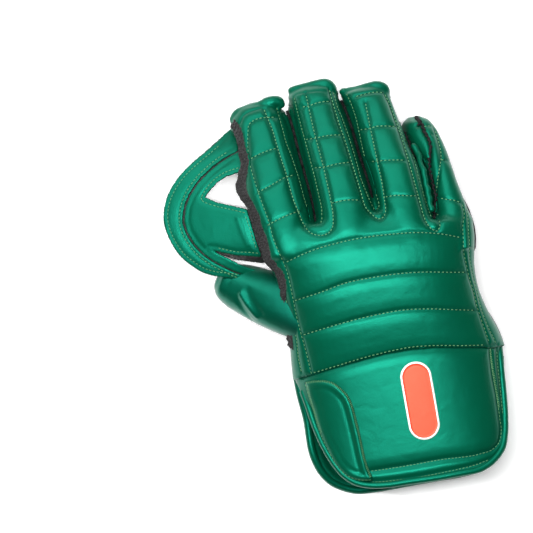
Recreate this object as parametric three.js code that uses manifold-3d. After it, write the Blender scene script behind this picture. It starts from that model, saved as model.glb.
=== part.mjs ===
// Right-hand wicketkeeping glove, palm down, as it lies by itself on a flat surface.
// Millimetres. +Y runs from the cuff to the fingertips, +X to the little finger, +Z up.
import * as THREE from "three";
import Module from "manifold-3d";

const wasm = await Module();
wasm.setup();

// Overall form
const gloveLength = 310;
const gloveWidth = 234;
const gloveHeight = 76;

// Walls of the hand and fingers
const backPadding = 8;
const palmPadding = 5;
const sideWall = 3.6;
const tipWall = 8;
const gussetHeight = 13;

// Thumb
const thumbThickness = 31;
const thumbBackWall = 4.5;
const thumbPalmWall = 4.5;

// Cuff
const cuffHeight = 64;
const cuffSeamHeight = 30;
const cuffBackWall = 6;
const cuffPalmWall = 5;
const pipingDiameter = 6;
const patchThickness = 1.8;
const badgeLength = 58;
const badgeWidth = 23;
const badgeThickness = 0.9;

// Web between the thumb and the first finger
const webLeather = 2.2;
const webRubber = 2.8;
const webSeamWidth = 1.8;

// Space left between two pieces that touch
const clearance = 0.3;

// Points round one section, and round one piping
const sectionSides = 16;
const hollowSides = 10;
const archSides = 12;
const pipingSides = 6;

// Columns: station (of gloveLength), left, right (of gloveWidth), underside, crown (of gloveHeight).
const handRows = [
  [0.27, -0.298, 0.384, 0.0, 0.87],
  [0.294, -0.297, 0.383, 0.013, 0.882],
  [0.344, -0.293, 0.369, 0.066, 0.908],
  [0.393, -0.287, 0.346, 0.145, 0.941],
  [0.445, -0.285, 0.33, 0.224, 0.967],
  [0.5, -0.289, 0.328, 0.289, 0.989],
  [0.552, -0.295, 0.34, 0.329, 1.0],
  [0.598, -0.32, 0.348, 0.355, 0.995],
  [0.636, -0.314, 0.342, 0.368, 0.955],
  [0.666, -0.262, 0.212, 0.434, 0.83],
];

// Fingers have one more column: how far they roll toward the little finger's side, in degrees.
const indexRows = [
  [0.601, -0.324, -0.166, 0.355, 0.9, -14],
  [0.644, -0.326, -0.158, 0.355, 0.893, -13],
  [0.681, -0.332, -0.149, 0.342, 0.872, -11],
  [0.724, -0.344, -0.15, 0.316, 0.83, -9],
  [0.767, -0.35, -0.155, 0.27, 0.774, -7],
  [0.81, -0.344, -0.16, 0.211, 0.704, -6],
  [0.853, -0.342, -0.165, 0.145, 0.628, -5],
  [0.896, -0.346, -0.169, 0.079, 0.552, -4],
  [0.933, -0.352, -0.177, 0.03, 0.487, -4],
  [0.957, -0.344, -0.187, 0.01, 0.434, -4],
  [0.972, -0.322, -0.202, 0.013, 0.368, -4],
  [0.98, -0.289, -0.224, 0.072, 0.276, -4],
];

const middleRows = [
  [0.601, -0.141, 0.048, 0.434, 0.995, 0],
  [0.644, -0.139, 0.052, 0.421, 0.985, 0],
  [0.681, -0.137, 0.053, 0.401, 0.958, 0],
  [0.724, -0.136, 0.046, 0.368, 0.91, 0],
  [0.767, -0.138, 0.038, 0.322, 0.85, 0],
  [0.81, -0.143, 0.033, 0.257, 0.776, 0],
  [0.853, -0.147, 0.027, 0.184, 0.694, 0],
  [0.896, -0.15, 0.018, 0.112, 0.608, 0],
  [0.933, -0.152, 0.009, 0.053, 0.535, 0],
  [0.966, -0.158, 0.003, 0.011, 0.474, 0],
  [0.988, -0.153, -0.004, 0.004, 0.401, 0],
  [1.0, -0.122, -0.033, 0.066, 0.289, 0],
];

const ringRows = [
  [0.589, 0.05, 0.231, 0.408, 0.985, 5],
  [0.638, 0.054, 0.227, 0.395, 0.962, 5],
  [0.681, 0.05, 0.221, 0.375, 0.93, 5],
  [0.724, 0.052, 0.219, 0.342, 0.878, 4],
  [0.767, 0.047, 0.214, 0.296, 0.815, 3],
  [0.81, 0.036, 0.199, 0.23, 0.74, 2],
  [0.853, 0.032, 0.188, 0.158, 0.655, 2],
  [0.896, 0.028, 0.178, 0.086, 0.568, 2],
  [0.933, 0.019, 0.17, 0.026, 0.493, 2],
  [0.954, 0.01, 0.165, 0.004, 0.441, 2],
  [0.966, 0.01, 0.157, 0.007, 0.375, 2],
  [0.972, 0.033, 0.134, 0.066, 0.276, 2],
];

const littleRows = [
  [0.546, 0.226, 0.342, 0.365, 0.86, 6],
  [0.589, 0.228, 0.35, 0.359, 0.84, 9],
  [0.629, 0.229, 0.346, 0.339, 0.81, 13],
  [0.669, 0.226, 0.334, 0.306, 0.762, 17],
  [0.712, 0.225, 0.322, 0.258, 0.7, 19],
  [0.755, 0.217, 0.315, 0.204, 0.628, 20],
  [0.791, 0.206, 0.308, 0.145, 0.553, 21],
  [0.822, 0.193, 0.299, 0.086, 0.478, 21],
  [0.85, 0.186, 0.288, 0.036, 0.405, 21],
  [0.868, 0.189, 0.271, 0.03, 0.345, 21],
  [0.88, 0.208, 0.248, 0.09, 0.263, 21],
];

// Height of the side seams. Columns: station, height at the middle finger (of gloveHeight),
// fall toward both sides (of gloveHeight, at half a gloveWidth from the middle finger).
const seamRows = [
  [0.29, 0.4, 0.1],
  [0.393, 0.5, 0.13],
  [0.5, 0.59, 0.15],
  [0.552, 0.63, 0.2],
  [0.598, 0.658, 0.28],
  [0.681, 0.655, 0.38],
  [0.724, 0.618, 0.35],
  [0.767, 0.566, 0.32],
  [0.81, 0.5, 0.28],
  [0.853, 0.428, 0.24],
  [0.9, 0.348, 0.17],
  [0.966, 0.243, 0.12],
  [1.01, 0.197, 0.1],
];

// Points on a line across the glove. Columns: across (of gloveWidth), along (of gloveLength).
const wristLine = [
  [-0.45, 0.306],
  [-0.326, 0.308],
  [-0.232, 0.314],
  [-0.163, 0.321],
  [-0.081, 0.328],
  [0.0, 0.334],
  [0.081, 0.334],
  [0.163, 0.328],
  [0.244, 0.316],
  [0.326, 0.307],
  [0.5, 0.295],
];

const palmWristLine = [
  [-0.45, 0.345],
  [-0.277, 0.331],
  [-0.191, 0.316],
  [-0.106, 0.302],
  [0.0, 0.293],
  [0.212, 0.284],
  [0.5, 0.284],
];

const fingerRootLine = [
  [-0.5, 0.672],
  [-0.314, 0.678],
  [-0.244, 0.695],
  [-0.171, 0.702],
  [-0.086, 0.709],
  [0.0, 0.706],
  [0.122, 0.699],
  [0.191, 0.69],
  [0.248, 0.681],
  [0.326, 0.653],
  [0.5, 0.636],
];

const palmRootLine = [
  [-0.5, 0.66],
  [-0.14, 0.69],
  [0.05, 0.69],
  [0.2, 0.672],
  [0.26, 0.64],
  [0.5, 0.62],
];

const fabricOutline = [
  [-0.5, 0.22],
  [-0.085, 0.22],
  [-0.09, 0.294],
  [-0.114, 0.362],
  [-0.183, 0.393],
  [-0.269, 0.42],
  [-0.285, 0.47],
  [-0.5, 0.47],
];

const cuffBackEdge = [
  [-0.297, 0.313],
  [-0.285, 0.282],
  [-0.275, 0.239],
  [-0.265, 0.19],
  [-0.244, 0.129],
  [-0.224, 0.092],
  [-0.196, 0.058],
  [-0.163, 0.037],
  [-0.122, 0.025],
  [-0.061, 0.018],
  [0.0, 0.017],
  [0.081, 0.015],
  [0.163, 0.015],
  [0.244, 0.018],
  [0.277, 0.028],
  [0.305, 0.043],
  [0.326, 0.061],
  [0.342, 0.092],
  [0.352, 0.129],
  [0.36, 0.178],
  [0.367, 0.239],
  [0.375, 0.294],
];

const cuffPalmEdge = [
  [-0.297, 0.32],
  [-0.295, 0.264],
  [-0.289, 0.215],
  [-0.285, 0.107],
  [-0.273, 0.077],
  [-0.244, 0.043],
  [-0.204, 0.021],
  [-0.163, 0.008],
  [-0.102, 0.003],
  [0.0, 0.003],
  [0.102, 0.003],
  [0.183, 0.003],
  [0.244, 0.008],
  [0.277, 0.017],
  [0.305, 0.034],
  [0.326, 0.055],
  [0.342, 0.08],
  [0.358, 0.123],
  [0.367, 0.184],
  [0.373, 0.239],
  [0.38, 0.278],
];

const patchOutline = [
  [-0.262, 0.298],
  [-0.236, 0.3],
  [-0.204, 0.297],
  [-0.175, 0.288],
  [-0.155, 0.273],
  [-0.138, 0.255],
  [-0.13, 0.236],
  [-0.124, 0.199],
  [-0.12, 0.153],
  [-0.114, 0.077],
  [-0.106, 0.042],
  [-0.15, 0.046],
  [-0.181, 0.058],
  [-0.21, 0.085],
  [-0.23, 0.126],
  [-0.246, 0.169],
  [-0.256, 0.227],
];

// Web outlines. Columns as above.
const webOuterEdge = [
  [-0.346, 0.929],
  [-0.407, 0.902],
  [-0.448, 0.883],
  [-0.489, 0.865],
  [-0.53, 0.844],
  [-0.562, 0.822],
  [-0.587, 0.798],
  [-0.607, 0.767],
  [-0.615, 0.736],
  [-0.611, 0.706],
  [-0.599, 0.675],
  [-0.578, 0.644],
  [-0.554, 0.623],
  [-0.521, 0.601],
  [-0.481, 0.586],
  [-0.44, 0.577],
];

const webSeamLine = [
  [-0.342, 0.873],
  [-0.375, 0.865],
  [-0.411, 0.853],
  [-0.448, 0.837],
  [-0.489, 0.814],
  [-0.521, 0.788],
  [-0.542, 0.761],
  [-0.554, 0.73],
  [-0.55, 0.699],
  [-0.534, 0.669],
  [-0.509, 0.641],
  [-0.481, 0.62],
  [-0.448, 0.601],
  [-0.42, 0.585],
];

// Edges of the web's inner panel: toward the thumb, along the finger and toward the window.
const webThumbEdge = [
  [-0.403, 0.602],
  [-0.431, 0.618],
  [-0.464, 0.636],
  [-0.484, 0.65],
  [-0.464, 0.6445],
  [-0.448, 0.639],
  [-0.407, 0.627],
  [-0.367, 0.62],
  [-0.33, 0.612],
];

const webFingerEdge = [
  [-0.338, 0.65],
  [-0.344, 0.69],
];

const webWindowEdge = [
  [-0.35, 0.729],
  [-0.399, 0.745],
  [-0.44, 0.758],
  [-0.475, 0.776],
  [-0.456, 0.791],
  [-0.428, 0.808],
  [-0.395, 0.819],
  [-0.342, 0.825],
];

// Height of the web (of gloveHeight). Columns: across (of gloveWidth), then the height at the
// thumb end, at the middle of the web and at the finger end.
const webHeightRows = [
  [-0.66, 0.29, 0.3, 0.2],
  [-0.55, 0.37, 0.38, 0.27],
  [-0.45, 0.43, 0.47, 0.31],
  [-0.35, 0.47, 0.55, 0.34],
  [-0.25, 0.5, 0.6, 0.36],
];
const webHeightStations = [0.58, 0.7, 0.86];

// Thumb. Columns: across, along, centre height (of gloveHeight), half width (of gloveWidth),
// thickness (of thumbThickness).
const thumbRows = [
  [-0.18, 0.435, 0.6, 0.085, 1.0],
  [-0.24, 0.468, 0.54, 0.09, 1.08],
  [-0.3, 0.496, 0.46, 0.09, 1.1],
  [-0.35, 0.52, 0.37, 0.086, 1.08],
  [-0.39, 0.539, 0.3, 0.08, 1.05],
  [-0.425, 0.554, 0.25, 0.072, 1.0],
  [-0.455, 0.567, 0.225, 0.058, 0.9],
  [-0.474, 0.576, 0.215, 0.036, 0.62],
  [-0.48, 0.579, 0.212, 0.014, 0.3],
];

function lerp(a, b, t) {
  return a + (b - a) * t;
}

// Row of a table at one station, read between the two rows beside it.
function rowAt(rows, station) {
  let i = 0;
  while (i < rows.length - 2 && rows[i + 1][0] < station) {
    i += 1;
  }
  const span = rows[i + 1][0] - rows[i][0];
  const t = Math.min(Math.max((station - rows[i][0]) / span, 0), 1);
  return rows[i].map((value, k) => lerp(value, rows[i + 1][k], t));
}

// Points of a plan outline in millimetres.
function inPlan(points) {
  return points.map(([across, along]) => [across * gloveWidth, along * gloveLength]);
}

// Closed solid from positions and triangles, with its faces turned outward.
function closedSolid(positions, triangles) {
  const a = new THREE.Vector3();
  const b = new THREE.Vector3();
  const c = new THREE.Vector3();
  let volume = 0;
  for (let i = 0; i < triangles.length; i += 3) {
    a.fromArray(positions, triangles[i] * 3);
    b.fromArray(positions, triangles[i + 1] * 3);
    c.fromArray(positions, triangles[i + 2] * 3);
    volume += a.dot(b.cross(c));
  }
  if (volume < 0) {
    for (let i = 0; i < triangles.length; i += 3) {
      [triangles[i + 1], triangles[i + 2]] = [triangles[i + 2], triangles[i + 1]];
    }
  }
  const mesh = new wasm.Mesh({
    numProp: 3,
    vertProperties: new Float32Array(positions),
    triVerts: new Uint32Array(triangles),
  });
  return new wasm.Manifold(mesh);
}

// Solid through rings of points that all have the same number of points, capped at both ends.
function loft(rings) {
  const count = rings[0].length;
  const positions = rings.flat(2);
  const triangles = [];
  for (let j = 0; j < rings.length - 1; j += 1) {
    for (let i = 0; i < count; i += 1) {
      const a = j * count + i;
      const b = j * count + ((i + 1) % count);
      triangles.push(a, b, a + count, b, b + count, a + count);
    }
  }
  for (const [ring, first, flip] of [[0, 0, false], [rings.length - 1, (rings.length - 1) * count, true]]) {
    const centre = positions.length / 3;
    const middle = rings[ring].reduce((sum, p) => sum.map((s, k) => s + p[k] / count), [0, 0, 0]);
    positions.push(...middle);
    for (let i = 0; i < count; i += 1) {
      const a = first + i;
      const b = first + ((i + 1) % count);
      triangles.push(...(flip ? [a, b, centre] : [b, a, centre]));
    }
  }
  return closedSolid(positions, triangles);
}

function signedPower(value, power) {
  return Math.sign(value) * Math.abs(value) ** power;
}

// Rounded section across the glove. The crown and the underside have their own roundness.
function sectionRing(y, left, right, low, high, shape, roll = 0, sides = sectionSides) {
  const angle = THREE.MathUtils.degToRad(roll);
  const centreX = (left + right) / 2;
  const centreZ = (low + high) / 2;
  const halfHeight = (high - low) / 2;
  const reach = (right - left) / 2;
  const leaning = halfHeight * Math.sin(angle);
  const halfWidth = Math.sqrt(Math.max(reach ** 2 - leaning ** 2, (reach * 0.6) ** 2)) / Math.cos(angle);
  const side = halfHeight * (2 * shape.side - 1);
  const ring = [];
  for (let i = 0; i < sides; i += 1) {
    const t = (i / sides) * Math.PI * 2;
    const top = Math.sin(t) >= 0;
    const power = 2 / (top ? shape.crown : shape.under);
    const x = halfWidth * signedPower(Math.cos(t), power);
    const rise = signedPower(Math.sin(t), power);
    const z = side + (top ? halfHeight - side : halfHeight + side) * rise;
    ring.push([
      centreX + x * Math.cos(angle) + z * Math.sin(angle),
      y,
      centreZ - x * Math.sin(angle) + z * Math.cos(angle),
    ]);
  }
  return ring;
}

const handShape = { crown: 2.3, under: 2.6, side: 0.44 };
const fingerShape = { crown: 2.5, under: 3.0, side: 0.46 };

// Outside of the hand or of a finger, grown on all sides.
function tube(rows, shape, grow = 0) {
  const rings = rows.map((row, i) => {
    const [station, left, right, low, high, roll] = row;
    const push = i === 0 ? -grow : i === rows.length - 1 ? grow : 0;
    return sectionRing(
      station * gloveLength + push,
      left * gloveWidth - grow,
      right * gloveWidth + grow,
      low * gloveHeight - grow,
      high * gloveHeight + grow,
      shape,
      roll ?? 0,
    );
  });
  return loft(rings);
}

// Hollow inside the hand or a finger. Its last two rings close it in a blunt round end.
function hollow(rows, shape, from, to, shoulder, count) {
  const rings = [];
  for (let i = 0; i <= count + 1; i += 1) {
    const y = i <= count ? lerp(from, to, i / (count + 0.4)) : to;
    const row = rowAt(rows, Math.min(y / gloveLength, shoulder));
    const [, left, right, low, high, roll] = row;
    const squeeze = i <= count ? 0 : 0.22;
    const x0 = left * gloveWidth + sideWall;
    const x1 = right * gloveWidth - sideWall;
    const z0 = low * gloveHeight + palmPadding;
    const z1 = high * gloveHeight - backPadding;
    rings.push(sectionRing(
      y,
      lerp(x0, x1, squeeze),
      lerp(x1, x0, squeeze),
      lerp(z0, z1, squeeze),
      lerp(z1, z0, squeeze),
      shape,
      roll ?? 0,
      hollowSides,
    ));
  }
  return loft(rings);
}

// Outline without the points that lie on a straight stretch of it.
function corners(points) {
  const count = points.length;
  return points.filter(([x, y], i) => {
    const [lx, ly] = points[(i + count - 1) % count];
    const [nx, ny] = points[(i + 1) % count];
    const bend = (x - lx) * (ny - y) - (nx - x) * (y - ly);
    return Math.abs(bend) > 1e-4;
  });
}

// Upright prism over a plan outline in millimetres.
function prism(points, bottom = -gloveHeight, top = gloveHeight * 3) {
  const turn = THREE.ShapeUtils.area(points.map(([x, y]) => new THREE.Vector2(x, y)));
  const outline = corners(turn > 0 ? points : [...points].reverse());
  const contour = outline.map(([x, y]) => new THREE.Vector2(x, y));
  const count = outline.length;
  const positions = [];
  for (const z of [bottom, top]) {
    for (const [x, y] of outline) {
      positions.push(x, y, z);
    }
  }
  const triangles = [];
  for (const [a, b, c] of THREE.ShapeUtils.triangulateShape(contour, [])) {
    const facing = THREE.ShapeUtils.area([contour[a], contour[b], contour[c]]) > 0;
    const [p, q] = facing ? [b, c] : [c, b];
    triangles.push(a, q, p, a + count, p + count, q + count);
  }
  for (let i = 0; i < count; i += 1) {
    const j = (i + 1) % count;
    triangles.push(i, j, j + count, i, j + count, i + count);
  }
  return closedSolid(positions, triangles);
}

// Everything on one side of a line across the glove.
function beyond(line, distance = clearance / 2) {
  const points = inPlan(line).map(([x, y]) => [x, y + distance]);
  const far = gloveLength * 2;
  return prism([...points, [points.at(-1)[0], far], [points[0][0], far]]);
}

function before(line, distance = clearance / 2) {
  const points = inPlan(line).map(([x, y]) => [x, y - distance]);
  const far = -gloveLength;
  return prism([...points, [points.at(-1)[0], far], [points[0][0], far]]);
}

function straightLine(along) {
  return [[-1, along], [1, along]];
}

// Slab between two height functions of x and y, on a grid of the given stations.
function layer(lowAt, highAt, rows, columnsAt) {
  const grid = rows.map((y) => columnsAt(y).map((x) => [x, y]));
  const across = grid[0].length;
  const sheet = across * rows.length;
  const positions = [];
  for (const heightAt of [lowAt, highAt]) {
    for (const [x, y] of grid.flat()) {
      positions.push(x, y, heightAt(x, y));
    }
  }
  const triangles = [];
  for (let j = 0; j < rows.length - 1; j += 1) {
    for (let i = 0; i < across - 1; i += 1) {
      const a = j * across + i;
      triangles.push(a, a + across, a + 1, a + 1, a + across, a + across + 1);
      const b = a + sheet;
      triangles.push(b, b + 1, b + across, b + 1, b + across + 1, b + across);
    }
  }
  const last = (rows.length - 1) * across;
  const rim = [];
  for (let i = 0; i < across - 1; i += 1) {
    rim.push(i);
  }
  for (let j = 0; j < rows.length - 1; j += 1) {
    rim.push(j * across + across - 1);
  }
  for (let i = across - 1; i > 0; i -= 1) {
    rim.push(last + i);
  }
  for (let j = rows.length - 1; j > 0; j -= 1) {
    rim.push(j * across);
  }
  for (let k = 0; k < rim.length; k += 1) {
    const a = rim[k];
    const b = rim[(k + 1) % rim.length];
    triangles.push(a, b, b + sheet, a, b + sheet, a + sheet);
  }
  return closedSolid(positions, triangles);
}

// Even stations from one value to another.
function spread(from, to, steps) {
  return Array.from({ length: steps + 1 }, (unused, i) => lerp(from, to, i / steps));
}

// Round roll along a path of points.
function roll(path, radius, sides = pipingSides) {
  const rings = path.map((point, i) => {
    const here = new THREE.Vector3(...point);
    const next = new THREE.Vector3(...path[Math.min(i + 1, path.length - 1)]);
    const last = new THREE.Vector3(...path[Math.max(i - 1, 0)]);
    const ahead = next.sub(last).normalize();
    const across = new THREE.Vector3().crossVectors(ahead, new THREE.Vector3(0, 0, 1)).normalize();
    const up = new THREE.Vector3().crossVectors(across, ahead);
    const ring = [];
    for (let k = 0; k < sides; k += 1) {
      const t = ((k + 0.5) / sides) * Math.PI * 2;
      const spot = here.clone();
      spot.addScaledVector(across, Math.cos(t) * radius);
      spot.addScaledVector(up, Math.sin(t) * radius);
      ring.push(spot.toArray());
    }
    return ring;
  });
  return loft(rings);
}

// Outline moved sideways by a distance that may change along it.
function inset(points, distanceAt) {
  return points.map(([x, y], i) => {
    const [nx, ny] = points[Math.min(i + 1, points.length - 1)];
    const [lx, ly] = points[Math.max(i - 1, 0)];
    const length = Math.hypot(nx - lx, ny - ly);
    const distance = distanceAt(i, x, y);
    return [x - ((ny - ly) / length) * distance, y + ((nx - lx) / length) * distance];
  });
}

// Separate bodies of a solid, the largest first.
function bodies(solid) {
  const mesh = solid.getMesh();
  const count = mesh.vertProperties.length / mesh.numProp;
  const parent = Array.from({ length: count }, (unused, i) => i);
  const root = (i) => {
    let r = i;
    while (parent[r] !== r) {
      parent[r] = parent[parent[r]];
      r = parent[r];
    }
    return r;
  };
  const merged = new Map();
  const keys = [];
  for (let i = 0; i < count; i += 1) {
    const key = [0, 1, 2].map((k) => mesh.vertProperties[i * mesh.numProp + k]).join();
    if (!merged.has(key)) {
      merged.set(key, i);
    }
    keys.push(merged.get(key));
  }
  for (let i = 0; i < mesh.triVerts.length; i += 3) {
    parent[root(keys[mesh.triVerts[i]])] = root(keys[mesh.triVerts[i + 1]]);
    parent[root(keys[mesh.triVerts[i]])] = root(keys[mesh.triVerts[i + 2]]);
  }
  const groups = new Map();
  for (let i = 0; i < mesh.triVerts.length; i += 3) {
    const group = root(keys[mesh.triVerts[i]]);
    if (!groups.has(group)) {
      groups.set(group, []);
    }
    groups.get(group).push(...[0, 1, 2].map((k) => keys[mesh.triVerts[i + k]]));
  }
  const parts = [...groups.values()].map((corners) => {
    const order = new Map();
    const positions = [];
    const triangles = corners.map((corner) => {
      if (!order.has(corner)) {
        order.set(corner, order.size);
        for (let k = 0; k < 3; k += 1) {
          positions.push(mesh.vertProperties[corner * mesh.numProp + k]);
        }
      }
      return order.get(corner);
    });
    let volume = 0;
    for (let i = 0; i < triangles.length; i += 3) {
      const [a, b, c] = [0, 1, 2].map((k) => new THREE.Vector3().fromArray(positions, triangles[i + k] * 3));
      volume += a.dot(b.cross(c)) / 6;
    }
    return { positions, triangles, volume };
  });
  return parts.sort((p, q) => q.volume - p.volume);
}

const finish = {
  leather: { color: 0x007a5a, roughness: 0.42, metalness: 0 },
  gusset: { color: 0x0b4a38, roughness: 0.6, metalness: 0 },
  rubber: { color: 0x2b292a, roughness: 0.8, metalness: 0 },
  fabric: { color: 0x161616, roughness: 0.9, metalness: 0 },
  print: { color: 0xf25230, roughness: 0.5, metalness: 0 },
};

const group = new THREE.Group();

function addPiece(name, solid, look) {
  const [{ positions, triangles }] = bodies(solid);
  const geometry = new THREE.BufferGeometry();
  geometry.setAttribute("position", new THREE.Float32BufferAttribute(positions, 3));
  geometry.setIndex(triangles);
  const mesh = new THREE.Mesh(geometry, new THREE.MeshStandardMaterial(look));
  mesh.name = name;
  group.add(mesh);
}

// Heights of the seams that part the back, the gussets and the palm. Over the little finger
// they follow its own middle and lean with its roll.
const half = clearance / 2;
const slitWidth = gloveWidth * 0.012;

function seamCentre(x, y) {
  const [, middle, fall] = rowAt(seamRows, y / gloveLength);
  const away = (2 * (x / gloveWidth) - 0.04) ** 2;
  const [, left, right, low, high, lean] = rowAt(littleRows, y / gloveLength);
  const rolled = THREE.MathUtils.clamp((x - left * gloveWidth) / slitWidth + 1, 0, 1);
  const pastRoot = THREE.MathUtils.clamp((y / gloveLength - littleRows[0][0]) / 0.1, 0, 1);
  const slope = Math.tan(THREE.MathUtils.degToRad(lean)) * rolled;
  const centre = ((left + right) / 2) * gloveWidth;
  const height = lerp(middle - fall * away, (low + high) / 2, rolled * pastRoot);
  return height * gloveHeight - slope * (x - centre);
}

const seamStations = [-0.1, ...seamRows.map(([station]) => station), 1.1].map((s) => s * gloveLength);

function seamColumns(y) {
  const edge = rowAt(littleRows, y / gloveLength)[1] * gloveWidth;
  return [
    -gloveWidth * 0.8,
    ...spread(-gloveWidth * 0.35, edge - slitWidth, 3),
    edge,
    gloveWidth * 0.6,
  ];
}

const seamBelow = (x, y) => seamCentre(x, y) - gussetHeight * 0.6;
const seamAbove = (x, y) => seamCentre(x, y) + gussetHeight * 0.4;
const floorAt = () => -gloveHeight;
const skyAt = () => gloveHeight * 3;

const overSeam = (x, y) => seamAbove(x, y) + half;
const underSeam = (x, y) => seamAbove(x, y) - half;
const overPalm = (x, y) => seamBelow(x, y) + half;
const underPalm = (x, y) => seamBelow(x, y) - half;
const backLayer = layer(overSeam, skyAt, seamStations, seamColumns);
const gussetLayer = layer(overPalm, underSeam, seamStations, seamColumns);
const tipLayer = layer(overPalm, skyAt, seamStations, seamColumns);
const palmLayer = layer(floorAt, underPalm, seamStations, seamColumns);
const fabricLayer = layer(floorAt, underSeam, seamStations, seamColumns);

// Hand and fingers, outside and inside.
const fingers = [
  { name: "index", rows: indexRows, shoulder: 0.94, tipLine: 0.944 },
  { name: "middle", rows: middleRows, shoulder: 0.955, tipLine: 0.96 },
  { name: "ring", rows: ringRows, shoulder: 0.94, tipLine: 0.936 },
  { name: "little", rows: littleRows, shoulder: 0.84, tipLine: 0.84 },
];

const handOutside = tube(handRows, handShape);
const handGrown = tube(handRows, handShape, clearance);
const handInside = hollow(
  handRows,
  handShape,
  handRows[0][0] * gloveLength - tipWall,
  0.655 * gloveLength,
  0.636,
  6,
);
for (const finger of fingers) {
  finger.outside = tube(finger.rows, fingerShape);
  finger.grown = tube(finger.rows, fingerShape, clearance);
  finger.inside = hollow(
    finger.rows,
    fingerShape,
    finger.rows[0][0] * gloveLength + palmPadding / 2,
    finger.rows.at(-1)[0] * gloveLength - tipWall,
    finger.shoulder,
    5,
  );
}

// Thumb: rings square to its own axis.
function thumbRings(grow, sides = sectionSides, backWall = 0, palmWall = 0, wall = 0) {
  const centres = thumbRows.map(([across, along, height]) => new THREE.Vector3(
    across * gloveWidth,
    along * gloveLength,
    height * gloveHeight,
  ));
  return thumbRows.map(([, , , halfShare, thickShare], i) => {
    const next = centres[Math.min(i + 1, centres.length - 1)];
    const last = centres[Math.max(i - 1, 0)];
    const ahead = next.clone().sub(last).normalize();
    const across = new THREE.Vector3().crossVectors(ahead, new THREE.Vector3(0, 0, 1)).normalize();
    const up = new THREE.Vector3().crossVectors(across, ahead);
    const halfWidth = halfShare * gloveWidth + grow - wall;
    const rise = (thickShare * thumbThickness) / 2 + grow - backWall;
    const fall = (thickShare * thumbThickness) / 2 + grow - palmWall;
    const ring = [];
    for (let k = 0; k < sides; k += 1) {
      const t = (k / sides) * Math.PI * 2;
      const spot = centres[i].clone();
      spot.addScaledVector(across, signedPower(Math.cos(t), 0.9) * halfWidth);
      spot.addScaledVector(up, signedPower(Math.sin(t), 0.85) * (Math.sin(t) > 0 ? rise : fall));
      ring.push(spot.toArray());
    }
    return ring;
  });
}

const thumbOutside = loft(thumbRings(0));
const thumbGrown = loft(thumbRings(clearance));
const thumbSides = sideWall + 1;
const thumbHollow = thumbRings(0, hollowSides, thumbBackWall, thumbPalmWall, thumbSides);
const thumbInside = loft(thumbHollow.slice(0, -2));
const thumbSeamAt = (x) => {
  const rows = [...thumbRows].reverse().map(([across, , height]) => [across, height]);
  return rowAt(rows, x / gloveWidth)[1] * gloveHeight;
};

let outside = handOutside;
let inside = handInside;
for (const finger of fingers) {
  outside = outside.add(finger.outside);
  inside = inside.add(finger.inside);
}
const cavity = inside.add(thumbInside);
const shell = outside.subtract(cavity);

const fabricRegion = prism(inPlan(fabricOutline));
const fabricCut = prism(inset(inPlan(fabricOutline), () => -clearance));
const pastWrist = beyond(wristLine);
const pastPalmWrist = beyond(palmWristLine);
const pastRoots = beyond(fingerRootLine);

// Back of the hand and of each finger.
const handBack = shell.intersect(backLayer).intersect(pastWrist).intersect(before(fingerRootLine));
addPiece("hand_back", handBack, finish.leather);
for (const finger of fingers) {
  const hood = tipLayer.intersect(beyond(straightLine(finger.tipLine)));
  const wall = finger.outside.subtract(cavity).intersect(pastRoots);
  addPiece(`${finger.name}_finger_back`, wall.intersect(backLayer.add(hood)), finish.leather);
}

// Gussets: one round the first finger's outer side, one in each slit, one down the little finger.
const middleOf = (rows, along) => {
  const [, left, right] = rowAt(rows, along);
  return ((left + right) / 2) * gloveWidth;
};
function middleLine(rows, from, to) {
  const stations = [from, ...rows.map(([station]) => station), to].filter((s) => s >= from && s <= to);
  return stations.map((station) => [middleOf(rows, station), station * gloveLength - half]);
}

function gussetRegion(leftRows, rightRows, from, leftEnd, rightEnd) {
  const sides = [from * gloveLength - half, leftEnd * gloveLength - half, rightEnd * gloveLength - half];
  const leftSide = leftRows
    ? middleLine(leftRows, from, leftEnd).map(([x, y]) => [x + half, y])
    : [[-gloveWidth, sides[0]], [-gloveWidth, sides[1]]];
  const rightSide = rightRows
    ? middleLine(rightRows, from, rightEnd).map(([x, y]) => [x - half, y])
    : [[gloveWidth, sides[0]], [gloveWidth, sides[2]]];
  if (leftRows && rightRows) {
    const slit = ((rowAt(leftRows, leftEnd)[2] + rowAt(rightRows, rightEnd)[1]) / 2) * gloveWidth;
    leftSide.push([slit, sides[1]], [slit, sides[2]]);
  }
  return prism([...leftSide, ...rightSide.reverse()]);
}

const slits = [
  { name: "index_outer_gusset", left: null, right: indexRows, from: 0.575, ends: [0.944, 0.944] },
  { name: "index_middle_gusset", left: indexRows, right: middleRows, from: 0.63, ends: [0.944, 0.96] },
  { name: "middle_ring_gusset", left: middleRows, right: ringRows, from: 0.63, ends: [0.96, 0.936] },
  { name: "ring_little_gusset", left: ringRows, right: littleRows, from: 0.6, ends: [0.936, 0.84] },
  { name: "little_outer_gusset", left: littleRows, right: null, from: 0.3, ends: [0.84, 0.84] },
];
for (const slit of slits) {
  const region = gussetRegion(slit.left, slit.right, slit.from, slit.ends[0], slit.ends[1]);
  let gusset = shell.intersect(gussetLayer).intersect(region);
  if (!slit.right) {
    gusset = gusset.intersect(pastWrist);
  }
  addPiece(slit.name, gusset, finish.gusset);
}

// Palm side: pimpled rubber under the hand and fingers, cloth at the wrist beside the thumb.
const palmRubber = shell.intersect(palmLayer).intersect(pastPalmWrist).subtract(fabricCut);
addPiece("palm_rubber", palmRubber.intersect(before(palmRootLine)), finish.rubber);
for (const finger of fingers) {
  const face = finger.outside.subtract(cavity).intersect(palmLayer).intersect(beyond(palmRootLine));
  addPiece(`${finger.name}_finger_rubber`, face, finish.rubber);
}
const wristFabric = shell.intersect(fabricLayer).intersect(fabricRegion).intersect(pastPalmWrist);
addPiece("wrist_fabric", wristFabric.intersect(pastWrist), finish.fabric);

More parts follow.
